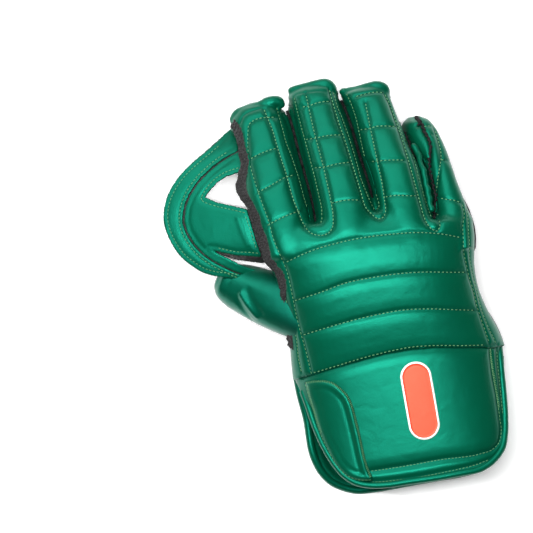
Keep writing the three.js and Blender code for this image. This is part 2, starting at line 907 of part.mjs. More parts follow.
// Thumb: leather back and rubber face, cut where they meet the hand.
const thumbShell = thumbOutside.subtract(thumbInside).subtract(handGrown).subtract(handInside);
const thumbColumns = () => [
  -gloveWidth * 0.8,
  ...[...thumbRows].reverse().map(([across]) => across * gloveWidth),
  gloveWidth * 0.6,
];
const wholeLength = [-0.1 * gloveLength, 1.1 * gloveLength];
const thumbUpper = layer((x) => thumbSeamAt(x) + half, skyAt, wholeLength, thumbColumns);
const thumbLower = layer(floorAt, (x) => thumbSeamAt(x) - half, wholeLength, thumbColumns);
addPiece("thumb_back", thumbShell.intersect(thumbUpper), finish.leather);
addPiece("thumb_rubber", thumbShell.intersect(thumbLower), finish.rubber);

// Cuff: an arched back panel and a flat palm panel, joined only near the hand.
const cuffBackLeft = -0.287;
const cuffBackRight = 0.368;
const cuffPalmLeft = -0.299;
const cuffPalmRight = 0.383;
const cuffCrownPower = 2.4;
const cuffUnderPower = 4;

function archRings(left, right, rise, sides) {
  const rings = [];
  for (const station of [-0.06, 0.3, 0.42]) {
    const lift = rowAt([[0, 0], [0.3, 0.046], [0.45, 0.08]], station)[1] * gloveHeight;
    const ring = [];
    for (let i = 0; i <= sides; i += 1) {
      const t = (i / sides) * Math.PI;
      const x = lerp(left, right, 0.5 + signedPower(Math.cos(t), 2 / cuffCrownPower) / 2);
      const z = cuffSeamHeight + signedPower(Math.sin(t), 2 / cuffCrownPower) * (rise + lift);
      ring.push([x, station * gloveLength, z]);
    }
    ring.push([left, station * gloveLength, -cuffHeight], [right, station * gloveLength, -cuffHeight]);
    rings.push(ring);
  }
  return rings;
}

function cuffArch(grow) {
  const left = cuffBackLeft * gloveWidth - grow;
  const right = cuffBackRight * gloveWidth + grow;
  return loft(archRings(left, right, cuffHeight - cuffSeamHeight + grow, archSides));
}

function cuffTray(grow) {
  const left = cuffPalmLeft * gloveWidth - grow;
  const right = cuffPalmRight * gloveWidth + grow;
  const rings = [];
  for (const station of [-0.06, 0.3, 0.42]) {
    const ring = [];
    for (let i = 0; i <= archSides; i += 1) {
      const t = (i / archSides) * Math.PI;
      const x = lerp(left, right, 0.5 + signedPower(Math.cos(t), 2 / cuffUnderPower) / 2);
      const drop = signedPower(Math.sin(t), 2 / cuffUnderPower) * (cuffSeamHeight + grow + 0.6);
      const z = Math.max(cuffSeamHeight - drop, -grow);
      ring.push([x, station * gloveLength, z]);
    }
    ring.push([left, station * gloveLength, cuffHeight * 2], [right, station * gloveLength, cuffHeight * 2]);
    rings.push(ring);
  }
  return loft(rings);
}

const pipingRadius = pipingDiameter / 2;

function archHeight(x) {
  const u = (2 * x - (cuffBackLeft + cuffBackRight) * gloveWidth)
    / ((cuffBackRight - cuffBackLeft) * gloveWidth);
  const arc = (1 - Math.min(Math.abs(u), 1) ** cuffCrownPower) ** (1 / cuffCrownPower);
  return cuffSeamHeight + arc * (cuffHeight - cuffSeamHeight);
}

function trayHeight(x) {
  const u = (2 * x - (cuffPalmLeft + cuffPalmRight) * gloveWidth)
    / ((cuffPalmRight - cuffPalmLeft) * gloveWidth);
  const arc = (1 - Math.min(Math.abs(u), 1) ** cuffUnderPower) ** (1 / cuffUnderPower);
  return Math.max(cuffSeamHeight - arc * (cuffSeamHeight + 0.6), 0);
}

const backPath = inset(inPlan(cuffBackEdge), () => pipingRadius).map(([x, y]) => [
  x,
  y,
  Math.max(archHeight(x) - cuffBackWall / 2, cuffSeamHeight + pipingRadius + half),
]);
const palmPath = inset(inPlan(cuffPalmEdge), () => pipingRadius).map(([x, y]) => [
  x,
  y,
  Math.min(trayHeight(x) + pipingRadius, cuffSeamHeight - pipingRadius - half),
]);
const backPiping = roll(backPath, pipingRadius);
const palmPiping = roll(palmPath, pipingRadius);
const backPipingGrown = roll(backPath, pipingRadius + clearance);
const palmPipingGrown = roll(palmPath, pipingRadius + clearance);

// Height of a piping beside a point, read off the half of its path on that side of the cuff.
const cuffMiddle = ((cuffBackLeft + cuffBackRight) / 2) * gloveWidth;

function edgeHeight(path, x, y) {
  const side = path.filter((point) => point[0] < cuffMiddle === x < cuffMiddle);
  const rows = side.map((point) => [point[1], point[2]]).sort((p, q) => p[0] - q[0]);
  return rowAt(rows, y)[1];
}

const sideStations = [0.12, 0.16, 0.2, 0.24, 0.28, 0.36].map((s) => s * gloveLength);
const sideColumns = () => [
  -gloveWidth * 0.8,
  cuffMiddle - clearance,
  cuffMiddle + clearance,
  gloveWidth * 0.6,
];

// Where a cuff panel lies: within its piping, and at the steep sides up to its piping's height.
function cuffPanelRegion(edge, wrist, sides) {
  const outline = (distance) => {
    const rim = inset(inPlan(edge), () => distance);
    const past = gloveLength * 0.6;
    return prism([[rim[0][0], past], ...rim, [rim.at(-1)[0], past]]);
  };
  const flat = outline(pipingDiameter * 0.75);
  const steep = outline(clearance).intersect(sides);
  return flat.add(steep).intersect(before(wrist));
}

const backSides = layer(
  (x, y) => edgeHeight(backPath, x, y) + pipingRadius / 2,
  skyAt,
  sideStations,
  sideColumns,
);
const palmSides = layer(
  floorAt,
  (x, y) => edgeHeight(palmPath, x, y) - pipingRadius / 2,
  sideStations,
  sideColumns,
);

const cuffBackShell = cuffArch(0).subtract(cuffArch(-cuffBackWall));
const wholeWidth = () => [-gloveWidth * 0.8, gloveWidth * 0.6];
const aboveSeam = layer(() => cuffSeamHeight + half, skyAt, wholeLength, wholeWidth);
const belowSeam = layer(floorAt, () => cuffSeamHeight - half, wholeLength, wholeWidth);
const cuffBackRegion = cuffPanelRegion(cuffBackEdge, wristLine, backSides);
const cuffBack = cuffBackShell.intersect(cuffBackRegion).intersect(aboveSeam);
addPiece("cuff_back", cuffBack.subtract(backPipingGrown), finish.leather);
addPiece("cuff_back_piping", backPiping.intersect(before(wristLine)), finish.leather);

const cuffPalmShell = cuffTray(0).subtract(cuffTray(-cuffPalmWall));
const cuffPalmRegion = cuffPanelRegion(cuffPalmEdge, palmWristLine, palmSides);
const cuffPalm = cuffPalmShell.intersect(cuffPalmRegion).intersect(belowSeam);
addPiece("cuff_palm", cuffPalm.subtract(palmPipingGrown), finish.leather);
addPiece("cuff_palm_piping", palmPiping.intersect(before(palmWristLine)), finish.leather);

// Raised trim on the thumb side of the cuff and a plain badge on its middle.
const trimSkin = cuffArch(clearance + patchThickness).subtract(cuffArch(clearance));
const trim = trimSkin.intersect(prism(inPlan(patchOutline))).intersect(aboveSeam);
addPiece("cuff_trim", trim.subtract(backPipingGrown), finish.leather);

const badgeCentre = inPlan([[0.084, 0.21]])[0];
const badgeOutline = [];
for (let i = 0; i < 24; i += 1) {
  const t = (i / 24) * Math.PI * 2;
  const end = Math.sign(Math.sin(t)) * (badgeLength - badgeWidth) / 2;
  badgeOutline.push([
    badgeCentre[0] + Math.cos(t) * badgeWidth / 2,
    badgeCentre[1] + Math.sin(t) * badgeWidth / 2 + end,
  ]);
}
const badgeSkin = cuffArch(clearance + badgeThickness).subtract(cuffArch(clearance));
addPiece("cuff_badge", badgeSkin.intersect(prism(badgeOutline)).intersect(aboveSeam), finish.print);

// Web: rubber face below, leather band and tee above, seated beside the finger and the thumb.
function webHeight(x, y) {
  const [, ...heights] = rowAt(webHeightRows, x / gloveWidth);
  const rows = webHeightStations.map((station, i) => [station, heights[i]]);
  return rowAt(rows, y / gloveLength)[1] * gloveHeight;
}

const webUnder = (x, y) => webHeight(x, y) - half;
const webOver = (x, y) => webHeight(x, y) + half;
const webStations = [0.5, 0.58, 0.64, 0.7, 0.78, 0.86, 0.96].map((s) => s * gloveLength);
const webColumns = () => webHeightRows.map(([across]) => across * gloveWidth);
const webFaceLayer = layer((x, y) => webUnder(x, y) - webRubber, webUnder, webStations, webColumns);
const webSkinLayer = layer(webOver, (x, y) => webOver(x, y) + webLeather, webStations, webColumns);
const nearFinger = prism([
  [-gloveWidth, gloveLength * 0.5],
  [-gloveWidth * 0.3, gloveLength * 0.5],
  [-gloveWidth * 0.3, gloveLength * 1.05],
  [-gloveWidth, gloveLength * 1.05],
]);
const indexGrown = fingers[0].grown.add(handGrown);

const outerEdge = inPlan(webOuterEdge);
const seamLine = inPlan(webSeamLine);
const thumbEdge = inPlan(webThumbEdge);
const fingerEdge = inPlan(webFingerEdge);
const windowEdge = inPlan(webWindowEdge);
const bandInner = inset(seamLine, () => -webSeamWidth / 2);
const teeOuter = inset(seamLine, () => webSeamWidth / 2);
const bandOutline = [...outerEdge, ...bandInner.reverse()];
const teeOutline = [...teeOuter, ...thumbEdge, ...fingerEdge, ...windowEdge];
const reachIn = gloveWidth * 0.05;
const intoFinger = (point) => [point[0] + reachIn, point[1]];
const faceOutline = [
  intoFinger(outerEdge[0]),
  ...outerEdge,
  ...thumbEdge.slice(0, -1),
  intoFinger(thumbEdge.at(-1)),
  intoFinger(windowEdge[0]),
  ...windowEdge,
  intoFinger(windowEdge.at(-1)),
];
const seat = indexGrown.add(thumbGrown);
addPiece("web_band", webSkinLayer.intersect(prism(bandOutline)).subtract(seat), finish.leather);
addPiece("web_tee", webSkinLayer.intersect(prism(teeOutline)).subtract(seat), finish.leather);
const webFace = webFaceLayer.intersect(prism(faceOutline)).intersect(nearFinger);
addPiece("web_rubber", webFace.subtract(seat), finish.rubber);

// Origin under the middle of the whole glove, on the surface it rests on.
const box = new THREE.Box3().setFromObject(group);
const middle = box.getCenter(new THREE.Vector3());
group.position.set(-middle.x, -middle.y, -box.min.z);

export default group;
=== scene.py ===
# Right-hand wicketkeeping glove, palm down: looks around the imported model.
import math

import bpy
import numpy as np
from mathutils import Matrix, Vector
from mathutils.bvhtree import BVHTree
from mathutils.kdtree import KDTree


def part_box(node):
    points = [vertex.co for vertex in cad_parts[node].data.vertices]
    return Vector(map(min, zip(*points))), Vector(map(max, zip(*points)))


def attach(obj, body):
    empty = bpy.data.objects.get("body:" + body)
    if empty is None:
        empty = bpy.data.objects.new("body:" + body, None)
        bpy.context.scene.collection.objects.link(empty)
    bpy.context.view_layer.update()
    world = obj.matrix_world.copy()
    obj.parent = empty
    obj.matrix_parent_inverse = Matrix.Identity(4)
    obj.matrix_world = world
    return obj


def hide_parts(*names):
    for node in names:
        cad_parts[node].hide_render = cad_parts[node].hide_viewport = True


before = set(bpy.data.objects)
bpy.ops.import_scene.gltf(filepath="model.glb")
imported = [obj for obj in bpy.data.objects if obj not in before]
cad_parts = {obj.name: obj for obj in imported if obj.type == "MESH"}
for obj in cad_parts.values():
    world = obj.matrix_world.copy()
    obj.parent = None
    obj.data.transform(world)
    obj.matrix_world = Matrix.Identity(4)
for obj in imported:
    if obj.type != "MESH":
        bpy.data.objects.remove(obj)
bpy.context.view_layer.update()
print("frame loaded")

# Sizes in millimetres. Tables hold shares of these, as the solids' own source does.
overall = {"length": 310.0, "width": 234.0, "height": 76.0}
gloveLength, gloveWidth, gloveHeight = overall["length"], overall["width"], overall["height"]
shift = Vector((
    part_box("web_band")[0].x * 1000 + 0.615 * gloveWidth,
    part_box("middle_finger_back")[1].y * 1000 - gloveLength,
    0.0,
))

# Columns: station, left, right, underside, crown, and for fingers the roll in degrees.
handRows = [
    (0.27, -0.298, 0.384, 0.0, 0.87, 0), (0.294, -0.297, 0.383, 0.013, 0.882, 0),
    (0.344, -0.293, 0.369, 0.066, 0.908, 0), (0.393, -0.287, 0.346, 0.145, 0.941, 0),
    (0.445, -0.285, 0.33, 0.224, 0.967, 0), (0.5, -0.289, 0.328, 0.289, 0.989, 0),
    (0.552, -0.295, 0.338, 0.329, 1.0, 0), (0.598, -0.312, 0.342, 0.355, 0.996, 0),
    (0.62, -0.312, 0.338, 0.366, 0.985, 0), (0.634, -0.31, 0.25, 0.375, 0.968, 0),
    (0.655, -0.3, 0.225, 0.39, 0.94, 0), (0.668, -0.27, 0.2, 0.42, 0.905, 0),
]
fingerRows = {
    "index": [
        (0.601, -0.324, -0.166, 0.355, 0.9, -14), (0.644, -0.326, -0.158, 0.355, 0.893, -13),
        (0.681, -0.332, -0.149, 0.342, 0.872, -11), (0.724, -0.344, -0.15, 0.316, 0.83, -9),
        (0.767, -0.35, -0.155, 0.27, 0.774, -7), (0.81, -0.344, -0.16, 0.211, 0.704, -6),
        (0.853, -0.342, -0.165, 0.145, 0.628, -5), (0.896, -0.346, -0.169, 0.079, 0.552, -4),
        (0.933, -0.352, -0.177, 0.03, 0.487, -4), (0.957, -0.344, -0.187, 0.01, 0.434, -4),
        (0.972, -0.322, -0.202, 0.013, 0.368, -4), (0.98, -0.289, -0.224, 0.072, 0.276, -4),
    ],
    "middle": [
        (0.601, -0.141, 0.048, 0.434, 0.995, 0), (0.644, -0.139, 0.052, 0.421, 0.985, 0),
        (0.681, -0.137, 0.053, 0.401, 0.958, 0), (0.724, -0.136, 0.046, 0.368, 0.91, 0),
        (0.767, -0.138, 0.038, 0.322, 0.85, 0), (0.81, -0.143, 0.033, 0.257, 0.776, 0),
        (0.853, -0.147, 0.027, 0.184, 0.694, 0), (0.896, -0.15, 0.018, 0.112, 0.608, 0),
        (0.933, -0.152, 0.009, 0.053, 0.535, 0), (0.966, -0.158, 0.003, 0.011, 0.474, 0),
        (0.988, -0.153, -0.004, 0.004, 0.401, 0), (1.0, -0.122, -0.033, 0.066, 0.289, 0),
    ],
    "ring": [
        (0.589, 0.05, 0.231, 0.408, 0.985, 5), (0.638, 0.054, 0.227, 0.395, 0.962, 5),
        (0.681, 0.05, 0.221, 0.375, 0.93, 5), (0.724, 0.052, 0.219, 0.342, 0.878, 4),
        (0.767, 0.047, 0.214, 0.296, 0.815, 3), (0.81, 0.036, 0.199, 0.23, 0.74, 2),
        (0.853, 0.032, 0.188, 0.158, 0.655, 2), (0.896, 0.028, 0.178, 0.086, 0.568, 2),
        (0.933, 0.019, 0.17, 0.026, 0.493, 2), (0.954, 0.01, 0.165, 0.004, 0.441, 2),
        (0.966, 0.01, 0.157, 0.007, 0.375, 2), (0.972, 0.033, 0.134, 0.066, 0.276, 2),
    ],
    "little": [
        (0.546, 0.226, 0.342, 0.365, 0.86, 6), (0.589, 0.228, 0.35, 0.359, 0.84, 9),
        (0.629, 0.229, 0.346, 0.339, 0.81, 13), (0.669, 0.226, 0.334, 0.306, 0.762, 17),
        (0.712, 0.225, 0.322, 0.258, 0.7, 19), (0.755, 0.217, 0.315, 0.204, 0.628, 20),
        (0.791, 0.206, 0.308, 0.145, 0.553, 21), (0.822, 0.193, 0.299, 0.086, 0.478, 21),
        (0.85, 0.186, 0.288, 0.036, 0.405, 21), (0.868, 0.189, 0.271, 0.03, 0.345, 21),
        (0.88, 0.208, 0.248, 0.09, 0.263, 21),
    ],
}
# Height of the side seams. Columns: station, height at the middle finger, fall toward both sides.
seamRows = [
    (0.29, 0.4, 0.1), (0.393, 0.5, 0.13), (0.5, 0.59, 0.15), (0.552, 0.63, 0.2),
    (0.598, 0.658, 0.28), (0.681, 0.655, 0.38), (0.724, 0.618, 0.35), (0.767, 0.566, 0.32),
    (0.81, 0.5, 0.28), (0.853, 0.428, 0.24), (0.9, 0.348, 0.17), (0.966, 0.243, 0.12),
    (1.01, 0.197, 0.1),
]
# Lines across the glove. Columns: across, along.
wristLine = [
    (-0.45, 0.306), (-0.326, 0.308), (-0.232, 0.314), (-0.163, 0.321), (-0.081, 0.328), (0.0, 0.334),
    (0.081, 0.334), (0.163, 0.328), (0.244, 0.316), (0.326, 0.307), (0.5, 0.295),
]
palmWristLine = [
    (-0.45, 0.345), (-0.277, 0.331), (-0.191, 0.316), (-0.106, 0.302), (0.0, 0.293),
    (0.212, 0.284), (0.5, 0.284),
]
clothOutline = [
    (-0.5, 0.22), (-0.085, 0.22), (-0.09, 0.294), (-0.114, 0.362), (-0.183, 0.393),
    (-0.269, 0.42), (-0.285, 0.47), (-0.5, 0.47),
]
tipStations = {"index": 0.944, "middle": 0.96, "ring": 0.936, "little": 0.84}
handShape = {"crown": 2.3, "under": 2.6, "side": 0.44}
fingerShape = {"crown": 2.5, "under": 3.0, "side": 0.46}


def unit(vectors, least=1e-9):
    return vectors / np.maximum(np.linalg.norm(vectors, axis=-1, keepdims=True), least)


def eased(t):
    return t * t * (3 - 2 * t)


def bell(distance, width):
    return np.exp(-((distance / width) ** 2))


# Evens a row of values out, in place, with a weight for each value's own size.
def evened(values, rounds, own=2):
    for k in range(rounds):
        values[1:-1] = (values[:-2] + own * values[1:-1] + values[2:]) / (own + 2)
    return values


# A table's rows at any places, on a smooth curve through its rows.
def onCurve(table, at, where):
    slopes = np.gradient(table, at, axis=0)
    i = np.clip(np.searchsorted(at, where) - 1, 0, len(at) - 2)
    span = (at[i + 1] - at[i])[:, None]
    t = np.clip((where - at[i])[:, None] / span, 0, 1)
    flat = table[i] * (1 + 2 * t) * (1 - t) ** 2 + table[i + 1] * eased(t)
    return flat + slopes[i] * span * t * (1 - t) ** 2 + slopes[i + 1] * span * t * t * (t - 1)


def rowsAt(rows, stations):
    table = np.array(rows, float)
    return onCurve(table, table[:, 0], np.asarray(stations, float))


# Points every few millimetres along a smooth curve through a line's points.
def alongLine(line, step):
    line = np.array(line, float)
    length = np.concatenate([[0], np.cumsum(np.linalg.norm(np.diff(line, axis=0), axis=1))])
    return onCurve(line, length, np.clip(np.arange(0, length[-1] + step * 0.5, step), 0, length[-1]))


def onGlove(shares):
    return np.array(shares, float) * (gloveWidth, gloveLength)


def lineAt(line, x):
    return np.interp(x, *onGlove(line).T)


def past(line, points):
    return points[:, 1] - lineAt(line, points[:, 0])


def signedPower(values, power):
    return np.sign(values) * np.abs(values) ** power


# Rounded sections across the glove, a ring of points for each row.
def sectionRings(table, shape, angles, narrower=0.0):
    y, left, right = table[:, 0] * gloveLength, table[:, 1] * gloveWidth, table[:, 2] * gloveWidth
    low, high, roll = table[:, 3] * gloveHeight, table[:, 4] * gloveHeight, np.radians(table[:, 5])
    halfHeight = (high - low) / 2
    reach = (right - left) / 2 - narrower
    leaning = halfHeight * np.sin(roll)
    halfWidth = np.sqrt(np.maximum(reach**2 - leaning**2, (reach * 0.6) ** 2)) / np.cos(roll)
    side = (halfHeight * (2 * shape["side"] - 1))[:, None]
    t = angles[None, :]
    top = np.sin(t) >= 0
    power = np.where(top, 2 / shape["crown"], 2 / shape["under"])
    x = halfWidth[:, None] * signedPower(np.cos(t), power)
    rise = signedPower(np.sin(t), power)
    z = side + np.where(top, halfHeight[:, None] - side, halfHeight[:, None] + side) * rise
    c, s = np.cos(roll)[:, None], np.sin(roll)[:, None]
    middleX, middleZ = ((left + right) / 2)[:, None], ((low + high) / 2)[:, None]
    return np.stack([middleX + x * c + z * s, np.repeat(y[:, None], len(angles), 1), middleZ - x * s + z * c], 2)


# Quads over a grid of points, closed round its rings where asked.
def gridFaces(rows, columns, closed=False):
    j, i = np.meshgrid(np.arange(rows - 1), np.arange(columns if closed else columns - 1), indexing="ij")
    a, b = j * columns + i, j * columns + (i + 1) % columns
    return np.stack([a, b, b + columns, a + columns], 2).reshape(-1, 4)


# Closed tube through rings, with a fan at each end.
def closedTube(rings):
    count, first = rings.shape[1], rings.shape[0] * rings.shape[1]
    faces, end = gridFaces(len(rings), count, True).tolist(), first - count
    for i in range(count):
        faces += [((i + 1) % count, i, first), (end + i, end + (i + 1) % count, first + 1)]
    return np.concatenate([rings.reshape(-1, 3), rings[0].mean(0)[None], rings[-1].mean(0)[None]]), faces


def joined(meshes):
    allPoints, allFaces, start = [], [], 0
    for points, faces in meshes:
        allPoints.append(points)
        allFaces += [[start + v for v in face] for face in faces]
        start += len(points)
    return np.concatenate(allPoints), allFaces


def triangulated(faces):
    faces = np.asarray(faces)
    if faces.shape[1] == 3:
        return faces
    return np.concatenate([faces[:, [0, 1, 2]], faces[:, [0, 2, 3]]])


# Averages each point with its neighbours; a weight says how far each one goes.
def relaxed(points, faces, rounds, amount, weight=1.0, keepVolume=True):
    pairs = np.concatenate([faces[:, [k, (k + 1) % faces.shape[1]]] for k in range(faces.shape[1])])
    pairs = np.unique(np.sort(pairs, 1), axis=0)
    count = np.bincount(pairs.ravel(), minlength=len(points))
    points = points.copy()
    weight = np.broadcast_to(np.asarray(weight, float), len(points))[:, None]
    for step in range(rounds):
        total = np.empty_like(points)
        for k in range(3):
            total[:, k] = np.bincount(pairs[:, 0], points[pairs[:, 1], k], len(points))
            total[:, k] += np.bincount(pairs[:, 1], points[pairs[:, 0], k], len(points))
        share = -amount * 1.04 if keepVolume and step % 2 else amount
        points += share * weight * (total / np.maximum(count, 1)[:, None] - points)
    return points


# Sum at each point of what the triangles round it hold.
def gathered(triangles, values, count):
    return sum(np.stack([np.bincount(triangles[:, k], values[:, axis], count) for axis in range(3)], 1)
               for k in range(3))


def pointNormals(points, triangles):
    a, b, c = (points[triangles[:, k]] for k in range(3))
    return unit(gathered(triangles, np.cross(b - a, c - a), len(points)), 1e-12)


def upward(points, triangles):
    return triangles if pointNormals(points, triangles)[:, 2].mean() > 0 else triangles[:, ::-1]


def withoutLoose(points, triangles):
    used, inverse = np.unique(triangles, return_inverse=True)
    return points[used], inverse.reshape(-1, 3)


# Fields are above zero inside something. This is the part that several share.
def inAll(*fields):
    return np.minimum.reduce(fields)


# Keeps the part of a surface where a field is above zero, with a clean cut along zero.
def cutWhere(points, triangles, values):
    inside = values > 0
    count = inside[triangles].sum(1)
    added, known, extra = [], {}, []

    def between(a, b):
        key = (min(a, b), max(a, b))
        if key not in known:
            known[key] = len(points) + len(added)
            share = values[a] / (values[a] - values[b])
            added.append(points[a] + (points[b] - points[a]) * share)
        return known[key]

    mixed = (count == 1) | (count == 2)
    for corners, lone in zip(triangles[mixed].tolist(), (count[mixed] == 1).tolist()):
        k = next(n for n in range(3) if inside[corners[n]] == lone)
        a, b, c = (corners[(k + n) % 3] for n in range(3))
        ab, ac = between(a, b), between(a, c)
        extra += [(a, ab, ac)] if lone else [(ab, b, c), (ab, c, ac)]
    kept = [triangles[count == 3], np.array(extra, int).reshape(-1, 3)]
    return withoutLoose(np.concatenate([points, np.array(added).reshape(-1, 3)]), np.concatenate(kept))


# Only the bodies of a surface with at least this many points.
def largeBodies(points, triangles, least):
    parent, new = None, np.arange(len(points))
    while parent is None or (new != parent).any():
        parent = new
        lowest, new = parent[triangles].min(1), parent.copy()
        for k in range(3):
            np.minimum.at(new, triangles[:, k], lowest)
        new = new[new]
    sizes = np.bincount(parent, minlength=len(points))
    return withoutLoose(points, triangles[sizes[parent[triangles[:, 0]]] >= least])


def borderEdges(triangles):
    edges = np.concatenate([triangles[:, [0, 1]], triangles[:, [1, 2]], triangles[:, [2, 0]]])
    inverse, count = np.unique(np.sort(edges, 1), axis=0, return_inverse=True, return_counts=True)[1:]
    return edges[count[inverse.ravel()] == 1]


# Gives a surface a wall of its own: an inner skin and a rounded rim. Slot 1 is the inner skin.
def walled(points, triangles, wall, roundness=0.35):
    normals = pointNormals(points, triangles)
    for k in range(2):  # evened out, so no thin triangle turns a point outward
        normals = unit(gathered(triangles, normals[triangles].sum(1), len(points)))
    edges = borderEdges(triangles)
    rim = np.unique(edges)
    count = np.bincount(triangles.ravel(), minlength=len(points))[rim][:, None]
    away = points[rim] - gathered(triangles, points[triangles].mean(1), len(points))[rim] / count
    away = unit(away - normals[rim] * (away * normals[rim]).sum(1)[:, None])
    n, m, bulge = len(points), len(rim), min(wall * roundness, 0.9)
    rings = [points[rim] - normals[rim] * wall * inward + away * bulge * outward
             for inward, outward in ((0.15, 0.75), (0.5, 1.0), (0.85, 0.75))]
    place = np.full(n, -1)
    place[rim] = np.arange(m)
    near, far = ([ends, *(2 * n + k * m + place[ends] for k in range(3)), ends + n] for ends in edges.T)
    faces = [triangles, triangles[:, ::-1] + n]
    faces += [triangulated(np.stack([far[k], near[k], near[k + 1], far[k + 1]], 1)) for k in range(4)]
    slots = np.repeat([0, 1, 0, 0, 0, 0], [len(part) for part in faces])
    return np.concatenate([points, points - normals * wall, *rings]), np.concatenate(faces), slots


def newObject(name, data):
    made = bpy.data.objects.new(name, data)
    bpy.context.scene.collection.objects.link(made)
    return made


# A visible piece from its points, faces and material slots.
def makePiece(name, solid, materials, sharp=55, replaces=(), slot="", pad=None, seam=None):
    points, faces, *slots = solid
    mesh = bpy.data.meshes.new(name)
    faces = faces if isinstance(faces, list) else faces.tolist()
    mesh.from_pydata(((points + np.array(shift)) / 1000).tolist(), [], faces)
    for material in materials:
        mesh.materials.append(material)
    for places in slots:
        mesh.polygons.foreach_set("material_index", places.astype(np.int32))
    mesh.polygons.foreach_set("use_smooth", np.ones(len(mesh.polygons), bool))
    mesh.update()
    # The seam mask says where the finishes paint shade into seams.
    shade = np.zeros(len(points), np.float32)
    if seam is not None:
        shade[:len(seam)] = seam
    mesh.attributes.new("seam", "FLOAT", "POINT").data.foreach_set("value", shade)
    if sharp:
        mesh.set_sharp_from_angle(angle=math.radians(sharp))
    piece = newObject(name, mesh)
    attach(piece, "root")
    if replaces:
        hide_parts(*replaces)


def treeOf(points, triangles):
    return BVHTree.FromPolygons(points.tolist(), triangles.tolist())


# Lays a plan line on a surface, from above or from below.
def laidOn(tree, line, fromAbove=True):
    start, way = (200.0, Vector((0, 0, -1))) if fromAbove else (-200.0, Vector((0, 0, 1)))
    laid = []
    for x, y in line:
        spot = tree.ray_cast(Vector((x, y, start)), way)[0]
        if spot is None:
            spot = tree.find_nearest(Vector((x, y, 40)))[0]
        laid.append(tuple(spot))
    return np.array(laid)


# Distance from each point to the nearest of a set of spots, up to a reach.
def distanceTo(points, spots, reach):
    tree = KDTree(len(spots))
    for k, spot in enumerate(spots):
        tree.insert(spot, k)
    tree.balance()
    low, high = spots.min(0) - reach, spots.max(0) + reach
    near = np.all((points > low) & (points < high), axis=1)
    found = np.full(len(points), float(reach))
    found[near] = [min(tree.find(p)[2], reach) for p in points[near].tolist()]
    return found


# Directions along a path, across it and up from it.
def directionsOf(path):
    ahead = unit(np.gradient(path, axis=0))
    across = unit(np.cross(ahead, (0, 0, 1.0)))
    return ahead, across, np.cross(across, ahead)


# Round roll along a path, with one radius or one for each point.
def rolledEdge(path, radius, sides=12):
    size = np.broadcast_to(np.asarray(radius, float), len(path))
    path = alongLine(np.column_stack([path, size]), 1.6)
    path, size = path[:, :3], path[:, 3].copy()
    ahead, across, up = directionsOf(path)
    turns = np.linspace(0, 2 * math.pi, sides, endpoint=False)[None, :, None]
    size[[0, -1]] *= 0.5
    around = across[:, None] * np.cos(turns) + up[:, None] * np.sin(turns)
    return closedTube(path[:, None] + around * size[:, None, None])


# How far each point lies inside a plan outline; less than zero outside.
def insidePlan(points, outline):
    nearest = np.full(len(points), 1e9)
    inside = np.zeros(len(points), bool)
    for p, q in zip(outline, np.roll(outline, -1, axis=0)):
        way, off = q - p, points[:, :2] - p
        t = np.clip((off @ way) / max(way @ way, 1e-9), 0, 1)
        nearest = np.minimum(nearest, np.linalg.norm(off - t[:, None] * way, axis=1))
        crosses = (p[1] > points[:, 1]) != (q[1] > points[:, 1])
        if q[1] != p[1]:
            inside ^= crosses & (points[:, 0] < p[0] + off[:, 1] / way[1] * way[0])
    return np.where(inside, nearest, -nearest)


# Leather rolled over the fingertips: a path and its radii for each finger.
tipRolls = {
    "index": ([(-81.5, 292, 20), (-76.5, 297.5, 22), (-68, 299.5, 23), (-59, 300.5, 24), (-50, 302, 25),
               (-44.5, 301, 24), (-42.5, 296.5, 23)], [2.2, 3.2, 3.4, 3.4, 4.2, 4.0, 2.6]),
    "middle": ([(-35.5, 307.5, 19), (-30, 308, 21), (-22, 308.3, 22), (-14, 308.6, 23), (-7, 307.5, 24),
                (-3.8, 304, 24), (-3.2, 299, 23)], [2.4, 3.0, 3.2, 3.6, 4.2, 3.8, 2.4]),
    "ring": ([(2, 301, 19), (8, 299.8, 21), (16, 299.5, 22), (24, 300, 23), (30.5, 299.5, 24),
              (34.5, 297, 24), (36, 292, 22)], [1.8, 2.8, 3.2, 3.6, 4.0, 3.8, 2.4]),
}


# Outer skin of the hand and fingers as one surface.
unionValues = {"voxel": 1.25, "sides": 72, "rings": 110,
               "slitRoom": {"index": 1.1, "middle": 1.4, "ring": 1.4, "little": 1.1}}


def handSkin():
    angles = np.linspace(0, 2 * math.pi, unionValues["sides"], endpoint=False)
    meshes = [rolledEdge(np.array(path, float), radii, 16) for path, radii in tipRolls.values()]
    tubes = [(handRows, handShape, 0.0)]
    tubes += [(rows, fingerShape, unionValues["slitRoom"][name]) for name, rows in fingerRows.items()]
    for rows, shape, narrower in tubes:
        table = rowsAt(rows, np.linspace(rows[0][0], rows[-1][0], unionValues["rings"]))
        meshes.append(closedTube(sectionRings(table, shape, angles, narrower)))
    points, faces = joined(meshes)
    mesh = bpy.data.meshes.new("draft")
    mesh.from_pydata((points / 1000).tolist(), [], faces)
    draft = newObject("draft", mesh)
    remesh = draft.modifiers.new("remesh", "REMESH")
    remesh.mode = "VOXEL"
    remesh.voxel_size = unionValues["voxel"] / 1000
    shaped = draft.evaluated_get(bpy.context.evaluated_depsgraph_get()).to_mesh()
    points = np.empty(len(shaped.vertices) * 3, np.float32)
    shaped.vertices.foreach_get("co", points)
    quads = np.array([tuple(face.vertices) for face in shaped.polygons if len(face.vertices) == 4])
    points = points.reshape(-1, 3).astype(float) * 1000
    bpy.data.objects.remove(draft)
    bpy.data.meshes.remove(mesh)
    knuckles = bell(points[:, 1] - 200, 14) * (points[:, 2] > 30)
    points = relaxed(points, quads, 10, 0.5)
    return relaxed(points, quads, 30, 0.6, knuckles, keepVolume=False), triangulated(quads)


